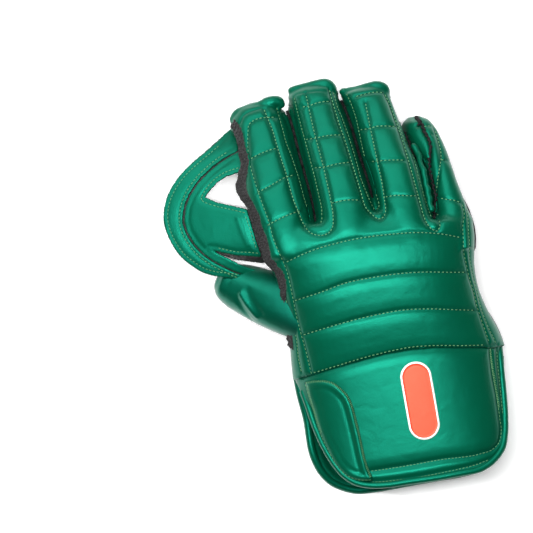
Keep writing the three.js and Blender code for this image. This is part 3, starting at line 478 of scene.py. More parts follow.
handPoints, handTriangles = handSkin()
print("hand surface", len(handPoints), handPoints.min(0), handPoints.max(0))
fingerNames = list(fingerRows)
seamValues = {"gussetHeight": 13.0, "below": 0.6, "above": 0.4, "slitWidth": gloveWidth * 0.012, "gap": 0.2,
              "wristGap": 0.15}


# Left and right side of every finger, at each point's place along the glove.
def fingerSides(points):
    return np.array([rowsAt(rows, points[:, 1] / gloveLength)[:, 1:3] for rows in fingerRows.values()]) * gloveWidth


def seamCentre(points):
    x, y = points[:, 0], points[:, 1]
    table = rowsAt(seamRows, y / gloveLength)
    away = (2 * x / gloveWidth - 0.04) ** 2
    rows = rowsAt(fingerRows["little"], y / gloveLength)
    left, right = rows[:, 1] * gloveWidth, rows[:, 2] * gloveWidth
    rolled = np.clip((x - left) / seamValues["slitWidth"] + 1, 0, 1)
    slope = np.tan(np.radians(rows[:, 5])) * rolled
    pastRoot = np.clip((y / gloveLength - fingerRows["little"][0][0]) / 0.1, 0, 1)
    level = table[:, 1] - table[:, 2] * away
    level += ((rows[:, 3] + rows[:, 4]) / 2 - level) * rolled * pastRoot
    return level * gloveHeight - slope * (x - (left + right) / 2)


# Which finger a point belongs to, by the middles of the slits.
def fingerOf(points):
    sides = fingerSides(points)
    return (points[:, 0] > (sides[:-1, :, 1] + sides[1:, :, 0]) / 2).sum(0)


def tipLineAt(points):
    return np.array([tipStations[name] for name in fingerNames])[fingerOf(points)] * gloveLength


above = handPoints[:, 2] - seamCentre(handPoints) - seamValues["gussetHeight"] * seamValues["above"]
below = handPoints[:, 2] - seamCentre(handPoints) + seamValues["gussetHeight"] * seamValues["below"]
whichFinger = fingerOf(handPoints)
tipLine = tipLineAt(handPoints)
hood = handPoints[:, 1] - tipLine
pastWrist, pastPalmWrist = past(wristLine, handPoints), past(palmWristLine, handPoints)

# Lower halves of the fingers spread toward each other, so the slits close under the leather.
spreadValues = {"halfGap": 0.9, "outerReach": 1.5, "from": 0.645, "ramp": 0.04, "tuck": 1.6}


def spreadSides(points):
    y, every = points[:, 1] / gloveLength, np.arange(len(points))
    sides = fingerSides(points)
    left, right = sides[whichFinger, every].T
    room = np.array([unionValues["slitRoom"][name] for name in fingerNames])[whichFinger]
    u = (points[:, 0] - (left + right) / 2) / np.maximum((right - left) / 2, 1)
    gaps = (sides[1:, :, 0] - sides[:-1, :, 1]) / 2 - spreadValues["halfGap"]
    leftRoom = np.concatenate([[y * 0 + spreadValues["outerReach"]], gaps])[whichFinger, every]
    rightRoom = np.concatenate([gaps, [y * 0 - 1]])[whichFinger, every]
    push = np.where(u < 0, -(leftRoom + room), rightRoom + room)
    tips = [rows[-1][0] for rows in fingerRows.values()] + [0.0]
    nextTip = np.where(u < 0, np.array([1.0] + tips[:3])[whichFinger], np.array(tips[1:])[whichFinger])
    beside = np.clip((nextTip - y) / 0.03, 0, 1)
    push = np.sign(push) * np.clip(np.abs(push), 0, 4.2 * beside)
    push = np.where((u > 0) == (push > 0), push, 0)
    side = np.clip((np.abs(u) - 0.45) / 0.5, 0, 1)
    down = np.clip(-above / (0.75 * seamValues["gussetHeight"]), 0, 1)
    along = np.clip((y - spreadValues["from"]) / spreadValues["ramp"], 0, 1)
    tip = np.clip((tipLine / gloveLength - y) / 0.03 + 0.6, 0, 1)
    moved = points.copy()
    moved[:, 0] += push * eased(side) * eased(down) * along * tip
    tuck = spreadValues["tuck"] * np.clip(-below / 5, 0, 1)  # the rubber tucks in past a finger's end
    free = np.maximum(1 - beside, np.clip((hood + 14) / 8, 0, 1) * (whichFinger == 0)) * (y > 0.8)
    moved[:, 0] -= np.sign(u) * tuck * side * free
    moved[:, 1] -= tuck * np.clip((hood + 4) / 6, 0, 1)
    return moved


handPoints = spreadSides(handPoints)

# Plan lines on the back, in millimetres on the glove.
quiltLines = {
    "quiltA": [(-54.5, 97), (-38, 99), (-19, 101.5), (0, 103), (19, 103.5), (38, 101.5), (57, 98), (76.5, 95)],
    "quiltB": [(-57, 127.5), (-38, 130), (-19, 132), (0, 133), (19, 133), (38, 130.5), (57, 126.5), (73.5, 123)],
    "quiltC": [(-59, 153.5), (-38, 156.5), (-19, 160), (0, 160.5), (19, 160), (38, 158), (57, 154.5), (71.5, 152)],
    "quiltD": [
        (-60, 182.5), (-47.5, 186), (-38, 188), (-19, 190), (0, 190.5), (19, 189.5), (38, 187.5),
        (57, 183), (70.5, 178),
    ],
    "index1": [(-69, 211.5), (-62, 214), (-55, 216), (-45, 217.8), (-40.5, 218)],
    "index2": [(-72, 237), (-62, 240), (-54, 243), (-49, 244.5), (-41.5, 245.2)],
    "index3": [(-72.5, 262.5), (-66.5, 264.5), (-57, 266.5), (-51.5, 267)],
    "index4": [(-69.5, 288), (-65, 290.5), (-59, 291.3), (-55, 291), (-46.5, 289.8)],
    "middle1": [(-20, 219.5), (-9.5, 220), (0, 218.5), (4, 217.5)],
    "middle2": [(-27.5, 247.6), (-20.5, 247), (-9.5, 247.5), (1, 247)],
    "middle3": [(-30, 269.6), (-22, 269.3), (-15, 269.5), (-7.5, 269), (-2, 268)],
    "middle4": [(-28, 294), (-23, 294), (-17, 295), (-9.5, 295), (-5, 294)],
    "ring1": [(20, 217.2), (28.5, 217), (38, 215), (44.5, 214)],
    "ring2": [(12, 245.2), (19.5, 244.5), (28.5, 243.5), (35, 242.5), (42, 241)],
    "ring3": [(11, 269.8), (19, 269.5), (23, 270), (33.5, 268.5), (39, 267.2)],
    "ring4": [(12.5, 294.8), (19, 295.5), (28.5, 295.5), (34.5, 294)],
    "little1": [(58, 211), (63, 208.5), (71.5, 205.5), (76.5, 202.5)],
    "little2": [(66, 237.6), (70.5, 236.5)],
}
borderLines = {
    "leftBorder": [
        (-69.5, 288), (-72, 276), (-73.5, 258.5), (-72.5, 249), (-71, 237.5), (-69.5, 228), (-67, 214),
        (-66, 201.5), (-63.5, 190), (-61.5, 182.5), (-60, 173), (-59.5, 161.5), (-59, 142.5),
        (-58, 128.5), (-57, 119), (-56, 104.5), (-55.5, 97),
    ],
    "rightBorder": [
        (76, 202.5), (76, 195), (73.5, 187.5), (72, 178), (70.5, 166.5), (71, 157), (71.5, 147.5),
        (73, 138), (73.5, 126.5), (74.5, 119), (76.5, 106.5), (78, 97),
    ],
}
slitLines = {
    "slit1": [
        (-56, 297.5), (-54.5, 290), (-52.5, 280.5), (-51.5, 271), (-50, 258.5), (-48.5, 249),
        (-47.5, 237.5), (-46.5, 228), (-44.5, 218), (-42, 207.5), (-39, 201.5), (-34.5, 198.5),
        (-29.5, 197.5), (-25, 198.5), (-21.5, 202.5), (-20, 209), (-19.5, 223.5), (-20, 237.5),
        (-20.5, 249), (-21.5, 261.5), (-22.5, 276), (-23, 288), (-23.5, 304.5),
    ],
    "slit2": [
        (-5.5, 303.5), (-5, 295), (-4, 285.5), (-3, 276), (-1.5, 266.5), (0, 255), (1, 245.5),
        (2.5, 233), (3.5, 223.5), (5.5, 211), (8.5, 206.5), (11.5, 203), (14.5, 202), (17, 203.5),
        (19, 207.5), (19.5, 214), (20, 228), (19.5, 247), (19, 276), (19, 290),
    ],
    "slit3": [
        (34.5, 293), (36.5, 285.5), (38, 276), (39.5, 266.5), (41, 256.5), (42, 245.5), (43, 233),
        (44, 220.5), (45, 209), (46, 198), (47.5, 192), (50.5, 187.5), (53.5, 186), (56, 188.5),
        (56.5, 195), (57, 202.5), (58, 211), (60, 218.5), (63, 228), (66, 236), (67, 239.5),
        (67.5, 252), (66.5, 261.5),
    ],
}
edgeLines = {
    "leftOuter": [(-63.5, 165.5), (-64.5, 155), (-63, 144.5), (-62, 125.5), (-63, 109.5), (-62.5, 100)],
    "rightOuter": [
        (78.5, 199.5), (78, 190), (76.5, 180.5), (76, 174), (74.5, 163.5), (74.5, 152), (75.5, 138),
        (76.5, 123.5), (80, 106.5), (82, 100), (83, 95),
    ],
    "indexInner": [
        (-46.5, 297.5), (-45, 280.5), (-44, 269), (-42.5, 261.5), (-41, 252), (-40, 245.5), (-39, 236),
        (-38.5, 228), (-37, 218.5), (-34.5, 210), (-33, 207.5),
    ],
    "middleLeft": [
        (-32.5, 302.5), (-31.5, 285.5), (-30, 266.5), (-28.5, 247), (-27.5, 228), (-27.5, 214),
        (-30, 207), (-33, 207.5),
    ],
    "middleRight": [
        (-3, 301.5), (-2, 290), (0, 280.5), (2, 268), (3.5, 256.5), (4.5, 245.5), (5.5, 233),
        (7.5, 223.5), (9.5, 215), (11.5, 208.5),
    ],
    "ringLeft": [
        (6.5, 298.5), (8.5, 290), (10, 280.5), (10.5, 266.5), (11, 252), (12, 242.5), (13.5, 231),
        (14.5, 220.5), (14, 210), (11.5, 208.5),
    ],
    "littleTop": [(58.8, 264.3), (63.8, 264), (68.5, 262.6)],
    "ringRight": [(40, 271), (43, 256.5), (46, 247), (47.5, 228), (49.5, 209), (51.5, 196)],
}

foldLines = {  # unsewn folds: a line, with its depth and width
    "littleSeam": ([(53.9, 274.1), (57.3, 268.5), (58.7, 260.5), (60.8, 253.4), (59.8, 244.7), (57.6, 235.1),
                    (57.4, 221.8), (57.9, 211.7), (53.4, 195.8)], 1.9, 1.6),
    "littleRoll": ([(43.4, 255.4), (48.9, 248.9), (52.4, 240.5), (58.7, 238.2)], 1.8, 1.3),
    "littleFold": ([(67.3, 236.7), (63.3, 229.7), (59.6, 221.4)], 0.9, 1.4),
    "indexCap": ([(-75.5, 290.5), (-72.1, 295.3), (-68.3, 297.2), (-64.6, 298), (-57.2, 299)], 0.6, 1.2),
    "middleCap": ([(-30, 304.5), (-22, 304.5), (-14, 304), (-8, 302.5)], 0.5, 1.2),
}

stitchRuns = []  # points on a surface, with a kind of stitch for each run


# Presses seams into a surface, with a depth and width for each, and lets the padding rise between them. Also gives
# back a mask of painted shade along the seams.
def quilted(points, triangles, lines, swell, reach=9.0, fromAbove=True):
    tree = treeOf(points, triangles)
    push, paintedSeamShade = np.zeros(len(points)), np.zeros(len(points))
    nearest = np.full(len(points), reach)
    for line, depth, width in lines:
        distance = distanceTo(points, laidOn(tree, alongLine(line, 1.0), fromAbove), reach)
        pressed = -depth * bell(distance, width)
        push = np.where(np.abs(pressed) > np.abs(push), pressed, push)
        nearest = np.minimum(nearest, distance)
        paintedSeamShade = np.maximum(paintedSeamShade, bell(distance, width * 0.6) * min(max(depth, 0), 1.0))
    push += swell * (1 - bell(nearest, 6.0))
    return points + pointNormals(points, triangles) * push[:, None], paintedSeamShade


def sewOn(points, triangles, lines, kind, pitch=3.0, fromAbove=True):
    tree = treeOf(points, triangles)
    for line in lines:
        plan = alongLine(line, pitch / 4)
        laid = laidOn(tree, plan, fromAbove)
        laid[np.linalg.norm(laid[:, :2] - plan, axis=1) > 0.6] = np.nan  # nothing to sew on here
        stitchRuns.append((laid, kind))


# Padded leather back of the hand and fingers.
backValues = {
    "wall": 3.0, "quiltDepth": 0.9, "quiltWidth": 1.5, "slitDepth": 1.2, "slitWidth": 1.6,
    "borderDepth": 0.8, "borderWidth": 1.4, "swell": 0.62, "fill": 0.7, "least": 3000,
}
thumbSideEdge = [
    (-69.5, 98), (-68, 102.5), (-68.5, 107.5), (-66.5, 116), (-65.5, 125.5), (-65, 133), (-65.5, 142.5),
    (-67, 152), (-65, 157), (-62.5, 163.5), (-61.5, 171), (-63, 177), (-66.5, 181), (-69.5, 185.5),
    (-70, 198), (-70.5, 204.5), (-73, 211), (-72.5, 219), (-74, 224), (-76, 231), (-79.5, 237.5),
    (-80, 242), (-79.5, 247), (-76, 254), (-73, 260), (-73.5, 266), (-74, 276), (-74.5, 286), (-78, 292),
    (-82, 300),
]
thumbTop = 0.5  # share of the length where the leather starts to follow this edge


def thumbEdgeAt(y):
    return np.interp(y, *np.array(thumbSideEdge, float).T[::-1])


thumbSide = handPoints[:, 0] - thumbEdgeAt(handPoints[:, 1])
thumbSide = np.where(handPoints[:, 1] > thumbTop * gloveLength, thumbSide, 99)
sideAbove = inAll(above, thumbSide)
backField = inAll(np.maximum(sideAbove, inAll(below, hood)), pastWrist - seamValues["wristGap"])
backPoints, backTriangles = largeBodies(*cutWhere(handPoints, handTriangles, backField), backValues["least"])
backLines = [(line, backValues["quiltDepth"] * (1 if name.startswith("quilt") else 0.7), backValues["quiltWidth"])
             for name, line in quiltLines.items()]
backLines += list(foldLines.values())
for lines, depth, width in ((slitLines, backValues["slitDepth"], backValues["slitWidth"]),
                            (borderLines, backValues["borderDepth"], backValues["borderWidth"]),
                            (edgeLines, backValues["borderDepth"] * 0.6, 1.1)):
    backLines += [(line, depth, width) for line in lines.values()]
backPoints, backShade = quilted(backPoints, backTriangles, backLines, backValues["swell"])
quiltLines["quiltA"] = [(x, y + 1.6) for x, y in quiltLines["quiltA"]]
for lines, kind, pitch in ((quiltLines, "quilt", 3.0), (slitLines, "quilt", 2.6), (borderLines, "edge", 3.0),
                           (edgeLines, "edge", 2.6)):
    sewOn(backPoints, backTriangles, lines.values(), kind, pitch)
backTree, handTree = treeOf(backPoints, backTriangles), treeOf(handPoints, handTriangles)
print("back leather", len(backPoints), len(backTriangles))


# Gives a node's sockets values, or links to other sockets.
def wire(tree, made, sockets):
    for name, value in sockets.items():
        if isinstance(value, bpy.types.NodeSocket):
            tree.links.new(value, made.inputs[name])
        else:
            made.inputs[name].default_value = value
    return made


def node(tree, kind, sockets, **settings):
    made = tree.nodes.new("ShaderNode" + kind)
    for name, value in settings.items():
        setattr(made, name, value)
    return wire(tree, made, sockets)


# A node group with inputs and outputs named in two dictionaries, by their default values.
def effectGroup(name, inputs, outputs):
    group = bpy.data.node_groups.new(name, "ShaderNodeTree")
    for way, sockets in (("INPUT", inputs), ("OUTPUT", outputs)):
        for label, value in sockets.items():
            kind = {type(None): "Vector", tuple: "Color", float: "Float"}[type(value)]
            socket = group.interface.new_socket(label, in_out=way, socket_type="NodeSocket" + kind)
            if way == "INPUT" and value is not None:
                socket.default_value = value
    return group, group.nodes.new("NodeGroupInput").outputs, group.nodes.new("NodeGroupOutput")


def newMaterial(name, fixed):
    material = bpy.data.materials.new(name)
    material.use_nodes = True
    tree = material.node_tree
    return material, tree, wire(tree, tree.nodes["Principled BSDF"], fixed)


# Pebbled skin with soft wrinkles: a height, and a patchiness from 0 to 1.
def grainEffect():
    group, given, out = effectGroup(
        "leatherGrain", {"Place": None, "Grain Size": 900.0, "Wrinkle Size": 90.0, "Wrinkle Depth": 1.0},
        {"Height": 0.0, "Patches": 0.0})
    place, size = given["Place"], given["Grain Size"]
    pebble = node(group, "TexVoronoi", {"Vector": place, "Scale": size}, feature="DISTANCE_TO_EDGE")
    fine = node(group, "TexNoise", {"Vector": place, "Scale": size, "Detail": 4.0, "Roughness": 0.6})
    wrinkle = node(group, "TexNoise", {"Vector": place, "Scale": given["Wrinkle Size"], "Detail": 2.0,
                                       "Roughness": 0.45, "Distortion": 0.6})
    patches = node(group, "TexNoise", {"Vector": place, "Scale": 22.0, "Detail": 5.0, "Roughness": 0.65})
    edge = node(group, "Math", {0: pebble.outputs["Distance"], 1: 0.16}, operation="MINIMUM")
    skin = node(group, "Math", {0: edge.outputs[0], 1: 0.5, 2: fine.outputs["Fac"]}, operation="MULTIPLY_ADD")
    fold = node(group, "Math", {0: wrinkle.outputs["Fac"], 1: given["Wrinkle Depth"]}, operation="MULTIPLY")
    total = node(group, "Math", {0: fold.outputs[0], 1: 6.0, 2: skin.outputs[0]}, operation="MULTIPLY_ADD")
    wire(group, out, {"Height": total.outputs[0], "Patches": patches.outputs["Fac"]})
    return group


# Colour with painted shade that darkens it in seams, and a tone that varies in patches.
def toneEffect():
    group, given, out = effectGroup(
        "seamShadeTone", {"Colour": (1, 1, 1, 1), "Seam Shade Colour": (0, 0, 0, 1), "Patches": 0.5, "Seam": 0.0,
                     "Variation": 0.2}, {"Colour": (0, 0, 0, 1), "Dullness": 0.0})
    less = node(group, "Math", {0: 1.0, 1: given["Variation"]}, operation="SUBTRACT")
    spread = node(group, "MapRange", {"Value": given["Patches"], "From Min": 0.3, "From Max": 0.7, "To Min": 1.0,
                                      "To Max": less.outputs[0]})
    scaled = node(group, "VectorMath", {0: given["Colour"], "Scale": spread.outputs[0]}, operation="SCALE")
    mix = node(group, "Mix", {"Factor": given["Seam"]}, data_type="RGBA")
    wire(group, mix, {"A": scaled.outputs["Vector"], "B": given["Seam Shade Colour"]})
    half = node(group, "Math", {0: given["Patches"], 1: 0.35}, operation="MULTIPLY")
    dull = node(group, "Math", {0: given["Seam"], 1: 0.7, 2: half.outputs[0]}, operation="MULTIPLY_ADD",
                use_clamp=True)
    wire(group, out, {"Colour": mix.outputs["Result"], "Dullness": dull.outputs[0]})
    return group


# Crossed threads of a knitted or woven cloth, as a height.
def weaveEffect():
    group, given, out = effectGroup("clothWeave", {"Place": None, "Thread Count": 900.0}, {"Height": 0.0})
    waves = [node(group, "TexWave", {"Vector": given["Place"], "Scale": given["Thread Count"], "Distortion": 0.6,
                                     "Detail": 1.0}, bands_direction=direction) for direction in "XY"]
    both = node(group, "Math", {k: wave.outputs["Fac"] for k, wave in enumerate(waves)}, operation="MULTIPLY")
    wire(group, out, {"Height": both.outputs[0]})
    return group


leatherGrain, seamShadeTone, clothWeave = grainEffect(), toneEffect(), weaveEffect()


# Joins a colour, a dullness from 0 to 1 and a height to a material's shader.
def shade(tree, shader, colour, dullness, rough, height, depth, relief):
    gloss = node(tree, "MapRange", {"Value": dullness, "To Min": rough[0], "To Max": rough[1]})
    bump = node(tree, "Bump", {"Height": height, "Strength": depth, "Distance": relief})
    wire(tree, shader, {"Base Color": colour, "Roughness": gloss.outputs["Result"],
                        "Normal": bump.outputs["Normal"]})


# Colours of the finishes. The seam colours are painted shade in seams, the thumb's green is darker than the back's
# as painted shade, and the hole colour is painted shade in needle holes.
finishes = {
    "leather": (0.0, 0.056, 0.026), "leatherSeamShade": (0.0, 0.024, 0.012), "thumb": (0.0, 0.045, 0.023),
    "gusset": (0.0, 0.066, 0.031), "rubber": (0.017, 0.016, 0.0165), "rubberEdge": (0.045, 0.041, 0.043),
    "rawRubber": (0.006, 0.0058, 0.006), "lining": (0.02, 0.019, 0.02), "cloth": (0.012, 0.012, 0.013),
    "thread": (0.15, 0.4, 0.18), "hole": (0.0, 0.018, 0.01), "print": (0.68, 0.042, 0.012),
    "border": (0.88, 0.88, 0.86),
}


def leather(name, colour, seamColour, rough, grain, wrinkle, depth=0.35, variation=0.22, relief=0.00016,
            tint=(0.04, 1, 0.68, 1), shine=0.5):
    material, tree, shader = newMaterial(name, {"Specular Tint": tint, "Specular IOR Level": shine})
    place = node(tree, "TexCoord", {}).outputs["Object"]
    # Painted shade along the seams, read from each piece's seam mask.
    seam = node(tree, "Attribute", {}, attribute_name="seam").outputs["Fac"]
    skin = node(tree, "Group", {"Place": place, "Grain Size": grain, "Wrinkle Size": wrinkle[0],
                                "Wrinkle Depth": wrinkle[1]}, node_tree=leatherGrain).outputs
    tone = node(tree, "Group", {
        "Colour": (*finishes[colour], 1), "Seam Shade Colour": (*finishes[seamColour], 1), "Variation": variation,
        "Patches": skin["Patches"], "Seam": seam}, node_tree=seamShadeTone).outputs
    shade(tree, shader, tone["Colour"], tone["Dullness"], rough, skin["Height"], depth, relief)
    return material


def woven(name, colour, count, rough, fixed):
    material, tree, shader = newMaterial(name, fixed)
    place = node(tree, "TexCoord", {}).outputs["Object"]
    weave = node(tree, "Group", {"Place": place, "Thread Count": count}, node_tree=clothWeave).outputs
    patches = node(tree, "TexNoise", {"Vector": place, "Scale": count * 0.4, "Detail": 4.0}).outputs["Fac"]
    plain = (*finishes[colour], 1)
    tone = node(tree, "Group", {"Colour": plain, "Seam Shade Colour": plain, "Variation": 0.45, "Patches": patches},
                node_tree=seamShadeTone).outputs
    shade(tree, shader, tone["Colour"], patches, rough, weave["Height"], 0.6, 0.0002)
    return material


rubberLook = {"depth": 0.9, "variation": 0.4, "relief": 0.0008, "tint": (1, 1, 1, 1)}
leatherFinish = leather("greenLeather", "leather", "leatherSeamShade", (0.35, 0.6), 1050.0, (75.0, 0.8), shine=0.75)
# The thumb's leather is a darker green than the back's as painted shade; its gloss is its own.
shadedThumbFinish = leather("glossyShadedThumbLeather", "thumb", "hole", (0.27, 0.5), 1050.0, (75.0, 0.8), shine=0.95)
gussetFinish = leather("darkGussetLeather", "gusset", "leatherSeamShade", (0.36, 0.7), 1050.0, (160.0, 1.8),
                       relief=0.0003, shine=0.45)
printFinish = leather("badgePrint", "print", "print", (0.34, 0.6), 1300.0, (75.0, 0.6), 0.2, 0.1,
                      tint=(1, 0.7, 0.5, 1))
borderFinish = leather("badgeBorder", "border", "border", (0.34, 0.6), 1300.0, (75.0, 0.6), 0.2, 0.08,
                       tint=(1, 1, 1, 1))
rubberFinish = leather("pimpledRubber", "rubber", "rubberEdge", (0.5, 0.85), 430.0, (150.0, 0.5), shine=0.35,
                       **rubberLook)
rawRubberFinish = leather("rawRubber", "rawRubber", "rubber", (0.6, 0.9), 430.0, (150.0, 0.5), shine=0.22,
                          **rubberLook)
# Dark green standing in for the shade inside needle holes: painted shade.
holeShadeFinish = leather("stitchHoleShade", "hole", "hole", (0.6, 0.9), 900.0, (75.0, 0.0), 0.2, tint=(0.5, 1, 0.8, 1),
                    shine=0.1)
clothFinish = woven("wristCloth", "cloth", 420.0, (0.8, 1.0), {"Sheen Weight": 0.2})
liningFinish = woven("darkLining", "lining", 300.0, (0.8, 1.0), {})
threadFinish = woven("paleThread", "thread", 2200.0, (0.55, 0.8), {"Specular IOR Level": 0.3})
print("finishes ready")


# A piece with a wall of its own, lined inside unless another finish is given.
def sheetPiece(name, points, triangles, wall, outer, inner=liningFinish, **given):
    makePiece(name, walled(points, triangles, wall), [outer, inner], **given)


sheetPiece("back_leather", backPoints, backTriangles, backValues["wall"], leatherFinish, slot="leather",
           replaces=["hand_back"] + [name + "_finger_back" for name in fingerNames], pad=backValues["fill"],
           seam=backShade)

# Dark leather down the sides of the fingers, each from a station along the glove.
gussetValues = {"wall": 1.6, "least": 150, "from": {
    "index_outer": thumbTop, "index_middle": 0.63, "middle_ring": 0.63, "ring_little": 0.6, "little_outer": 0.0}}
x, y = handPoints[:, 0], handPoints[:, 1]
middles = fingerSides(handPoints).mean(2)
for k, (name, root) in enumerate(gussetValues["from"].items()):
    places = [x - middles[k - 1]] if k else []
    places += [middles[k] - x, y - root * gloveLength] if k < 4 else [x, pastWrist - seamValues["wristGap"]]
    field = inAll(-sideAbove - seamValues["gap"], below - seamValues["gap"], tipLine - y, *places)
    points, triangles = largeBodies(*cutWhere(handPoints, handTriangles, field), gussetValues["least"])
    sheetPiece(name + "_gusset_leather", points, triangles, gussetValues["wall"], gussetFinish,
               replaces=[name + "_gusset"], slot="gusset_leather")
print("gussets ready")

# Rubber under the hand and fingers, and the cloth at the wrist.
palmValues = {"wall": 2.2, "least": 800, "leastCloth": 200}
cloth = onGlove(clothOutline)
inCloth = insidePlan(handPoints, cloth)
underLeather = np.where((x < 0) & (y < thumbTop * gloveLength), -above, -below) - seamValues["gap"]
palmField = inAll(underLeather, pastPalmWrist - seamValues["wristGap"], -inCloth - seamValues["gap"])
rubber = largeBodies(*cutWhere(handPoints, handTriangles, palmField), palmValues["least"])
sheetPiece("palm_side_rubber", *rubber, palmValues["wall"], rubberFinish, slot="pimpled_rubber",
           replaces=["palm_rubber"] + [name + "_finger_rubber" for name in fingerNames])

# Raw edge of the rubber sheet, standing out of the seam all round.
rawEdgeValues = {"width": 3.0, "sideWidth": 4.9, "thickness": 2.1, "wander": 0.8, "sway": 1.4, "seed": 11,
                 "leastRun": 24}


# Runs of points round a surface's border, where they are to be kept.
def borderRuns(triangles, keep):
    follow, runs = dict(borderEdges(triangles).tolist()), []
    while follow:
        start = next((p for p in follow if not keep[p]), next(iter(follow)))
        run, at = [], start
        while at in follow:
            if keep[at]:
                run.append(at)
            elif run:
                runs.append(run)
                run = []
            at = follow.pop(at)
        if run:
            runs.append(run + ([run[0]] if len(run) > 20 and keep[start] else []))
    return [run for run in runs if len(run) > rawEdgeValues["leastRun"]]


def rawEdge(points, triangles, keep):
    normals, rims = pointNormals(points, triangles), []
    chance = np.random.RandomState(rawEdgeValues["seed"])
    for run in borderRuns(triangles, keep):
        line, way = evened(points[run], 6), evened(normals[run], 6)
        ahead = unit(np.gradient(line, axis=0))
        outer = (line[:, 0] < fingerSides(line)[0].mean(1)) & (line[:, 1] > 0.6 * gloveLength)
        way[:, 2] = np.maximum(way[:, 2], np.where(outer, 0.4, 0.12))
        way = unit(way - ahead * (way * ahead).sum(1)[:, None])
        handSide = (line[:, 0] > 62) & (line[:, 1] < 208)
        rough = evened(chance.rand(len(line)), 1, own=1)
        wave = chance.rand(len(line) // 7 + 3)
        wave = np.interp(np.arange(len(line)) / 7, np.arange(len(wave)), wave)
        width = rawEdgeValues["width"] * (1 + rawEdgeValues["wander"] * (rough + wave - 1))
        width[handSide] = rawEdgeValues["sideWidth"]
        for k in range(8):
            width[1:-1] = np.where(handSide[1:-1], (width[:-2] + width[2:]) / 2, width[1:-1])
        width[[0, -1]] = 0.1
        flat = np.cross(ahead, way)
        inside, out, half = line - way * 1.2, way * width[:, None], flat * rawEdgeValues["thickness"] / 2
        line = line + flat * np.where(handSide, 0, wave - 0.5)[:, None] * 2 * rawEdgeValues["sway"]
        rims.append(closedTube(np.stack([
            inside + half, line + out * 0.75 + half, line + out + half * 0.5, line + out - half * 0.5,
            line + out * 0.75 - half, inside - half], 1)))
    return joined(rims)


# Edge of the rubber sheet that shows beside the leather on the thumb's side.
flapValues = {"from": 118.0, "to": 294.0, "upper": 6.6, "lower": 3.4, "thickness": 1.2, "tuck": 1.0, "drop": 1.1,
              "wander": 1.3, "seed": 5}


def rubberFlap():
    chance = np.random.RandomState(flapValues["seed"])
    y = np.arange(flapValues["from"], flapValues["to"], 0.9)
    x = thumbEdgeAt(y)
    width = np.interp(eased(np.clip((y - 156) / 14, 0, 1)), [0, 1], [flapValues["lower"], flapValues["upper"]])
    wave = np.interp(y, np.linspace(y[0], y[-1], 60), chance.rand(60)) - 0.5
    width = width + flapValues["wander"] * (wave + 0.35 * (chance.rand(len(y)) - 0.5))
    width *= np.clip(np.minimum(y - y[0], y[-1] - y) / 4, 0.05, 1)
    top = evened(laidOn(backTree, np.column_stack([x + 1.6, y]))[:, 2] - 1.3, 10)
    columns = []
    for share in np.linspace(0, 1, 8):
        out = share * (width + flapValues["tuck"]) - flapValues["tuck"]
        skin = laidOn(handTree, np.column_stack([x - out, y]))[:, 2]
        fall = top - flapValues["drop"] * np.maximum(out, 0) ** 1.15 * 0.8
        height = np.maximum(fall, np.minimum(skin + 0.5, top)) if columns else top
        columns.append(np.column_stack([x - out, y, height]))
    grid = np.stack(columns, 1)
    evened(grid[:, :, 2], 4)
    points = grid.reshape(-1, 3)
    return walled(points, upward(points, triangulated(gridFaces(*grid.shape[:2]))), flapValues["thickness"])


acrossRubber, alongRubber = rubber[0][:, 0], rubber[0][:, 1]
palmKeep = (past(palmWristLine, rubber[0]) > 5) & (insidePlan(rubber[0], cloth) < -4)
palmKeep &= alongRubber < tipLineAt(rubber[0]) - np.where(acrossRubber < -72, 14, 3)
palmKeep &= (acrossRubber <= 33) | (alongRubber <= 264)
palmEdge = rawEdge(*rubber, palmKeep)

# Black raw edge that zigzags up the little finger, and the crumpled strip beside the ring finger.
seamEdgeValues = {"radius": 0.95, "zigzag": 0.7, "sink": 0.4, "stripRadius": 2.3, "stripWave": 0.7, "seed": 3}
chance = np.random.RandomState(seamEdgeValues["seed"])
path = laidOn(handTree, alongLine(foldLines["littleSeam"][0], 0.9))
path[:, 0] += seamEdgeValues["zigzag"] * (np.arange(len(path)) % 4 - 1.5) / 1.5 + chance.rand(len(path)) - 0.5
path[:, 2] -= seamEdgeValues["sink"]
size = seamEdgeValues["radius"] * (0.75 + 0.6 * chance.rand(len(path)))
makePiece("raw_rubber_edge", joined([palmEdge, rolledEdge(path, size, 7)]), [rawRubberFinish], sharp=35,
          slot="pimpled_rubber")
strip = alongLine([(47.9, 252.8), (51, 242.2), (52.3, 228.6), (52.2, 212), (53, 200)], 1.2)
path = laidOn(backTree, strip - (3.4, 0)) - (0, 0, 3.6)
path[:, :2] = strip
evened(path[:, 2], 12, own=0)
every = np.arange(0, len(path), 3)
wave = (np.interp(np.arange(len(path)), every, chance.rand(len(every))) - 0.5) * seamEdgeValues["stripWave"]
path[:, 0] += wave * 2
makePiece("ring_side_fold", rolledEdge(path, seamEdgeValues["stripRadius"] + wave, 20), [leatherFinish], sharp=0,
          slot="gusset_leather")
flap = rubberFlap()
makePiece("rubber_flap", flap, [rubberFinish, rubberFinish], sharp=35, slot="pimpled_rubber")
clothField = inAll(inCloth - 0.1, -above - seamValues["gap"], pastPalmWrist - seamValues["wristGap"])
clothPanel = largeBodies(*cutWhere(handPoints, handTriangles, clothField), palmValues["leastCloth"])
sheetPiece("wrist_cloth_panel", *clothPanel, palmValues["wall"], clothFinish, replaces=["wrist_fabric"],
           slot="wrist_cloth")
print("palm ready")

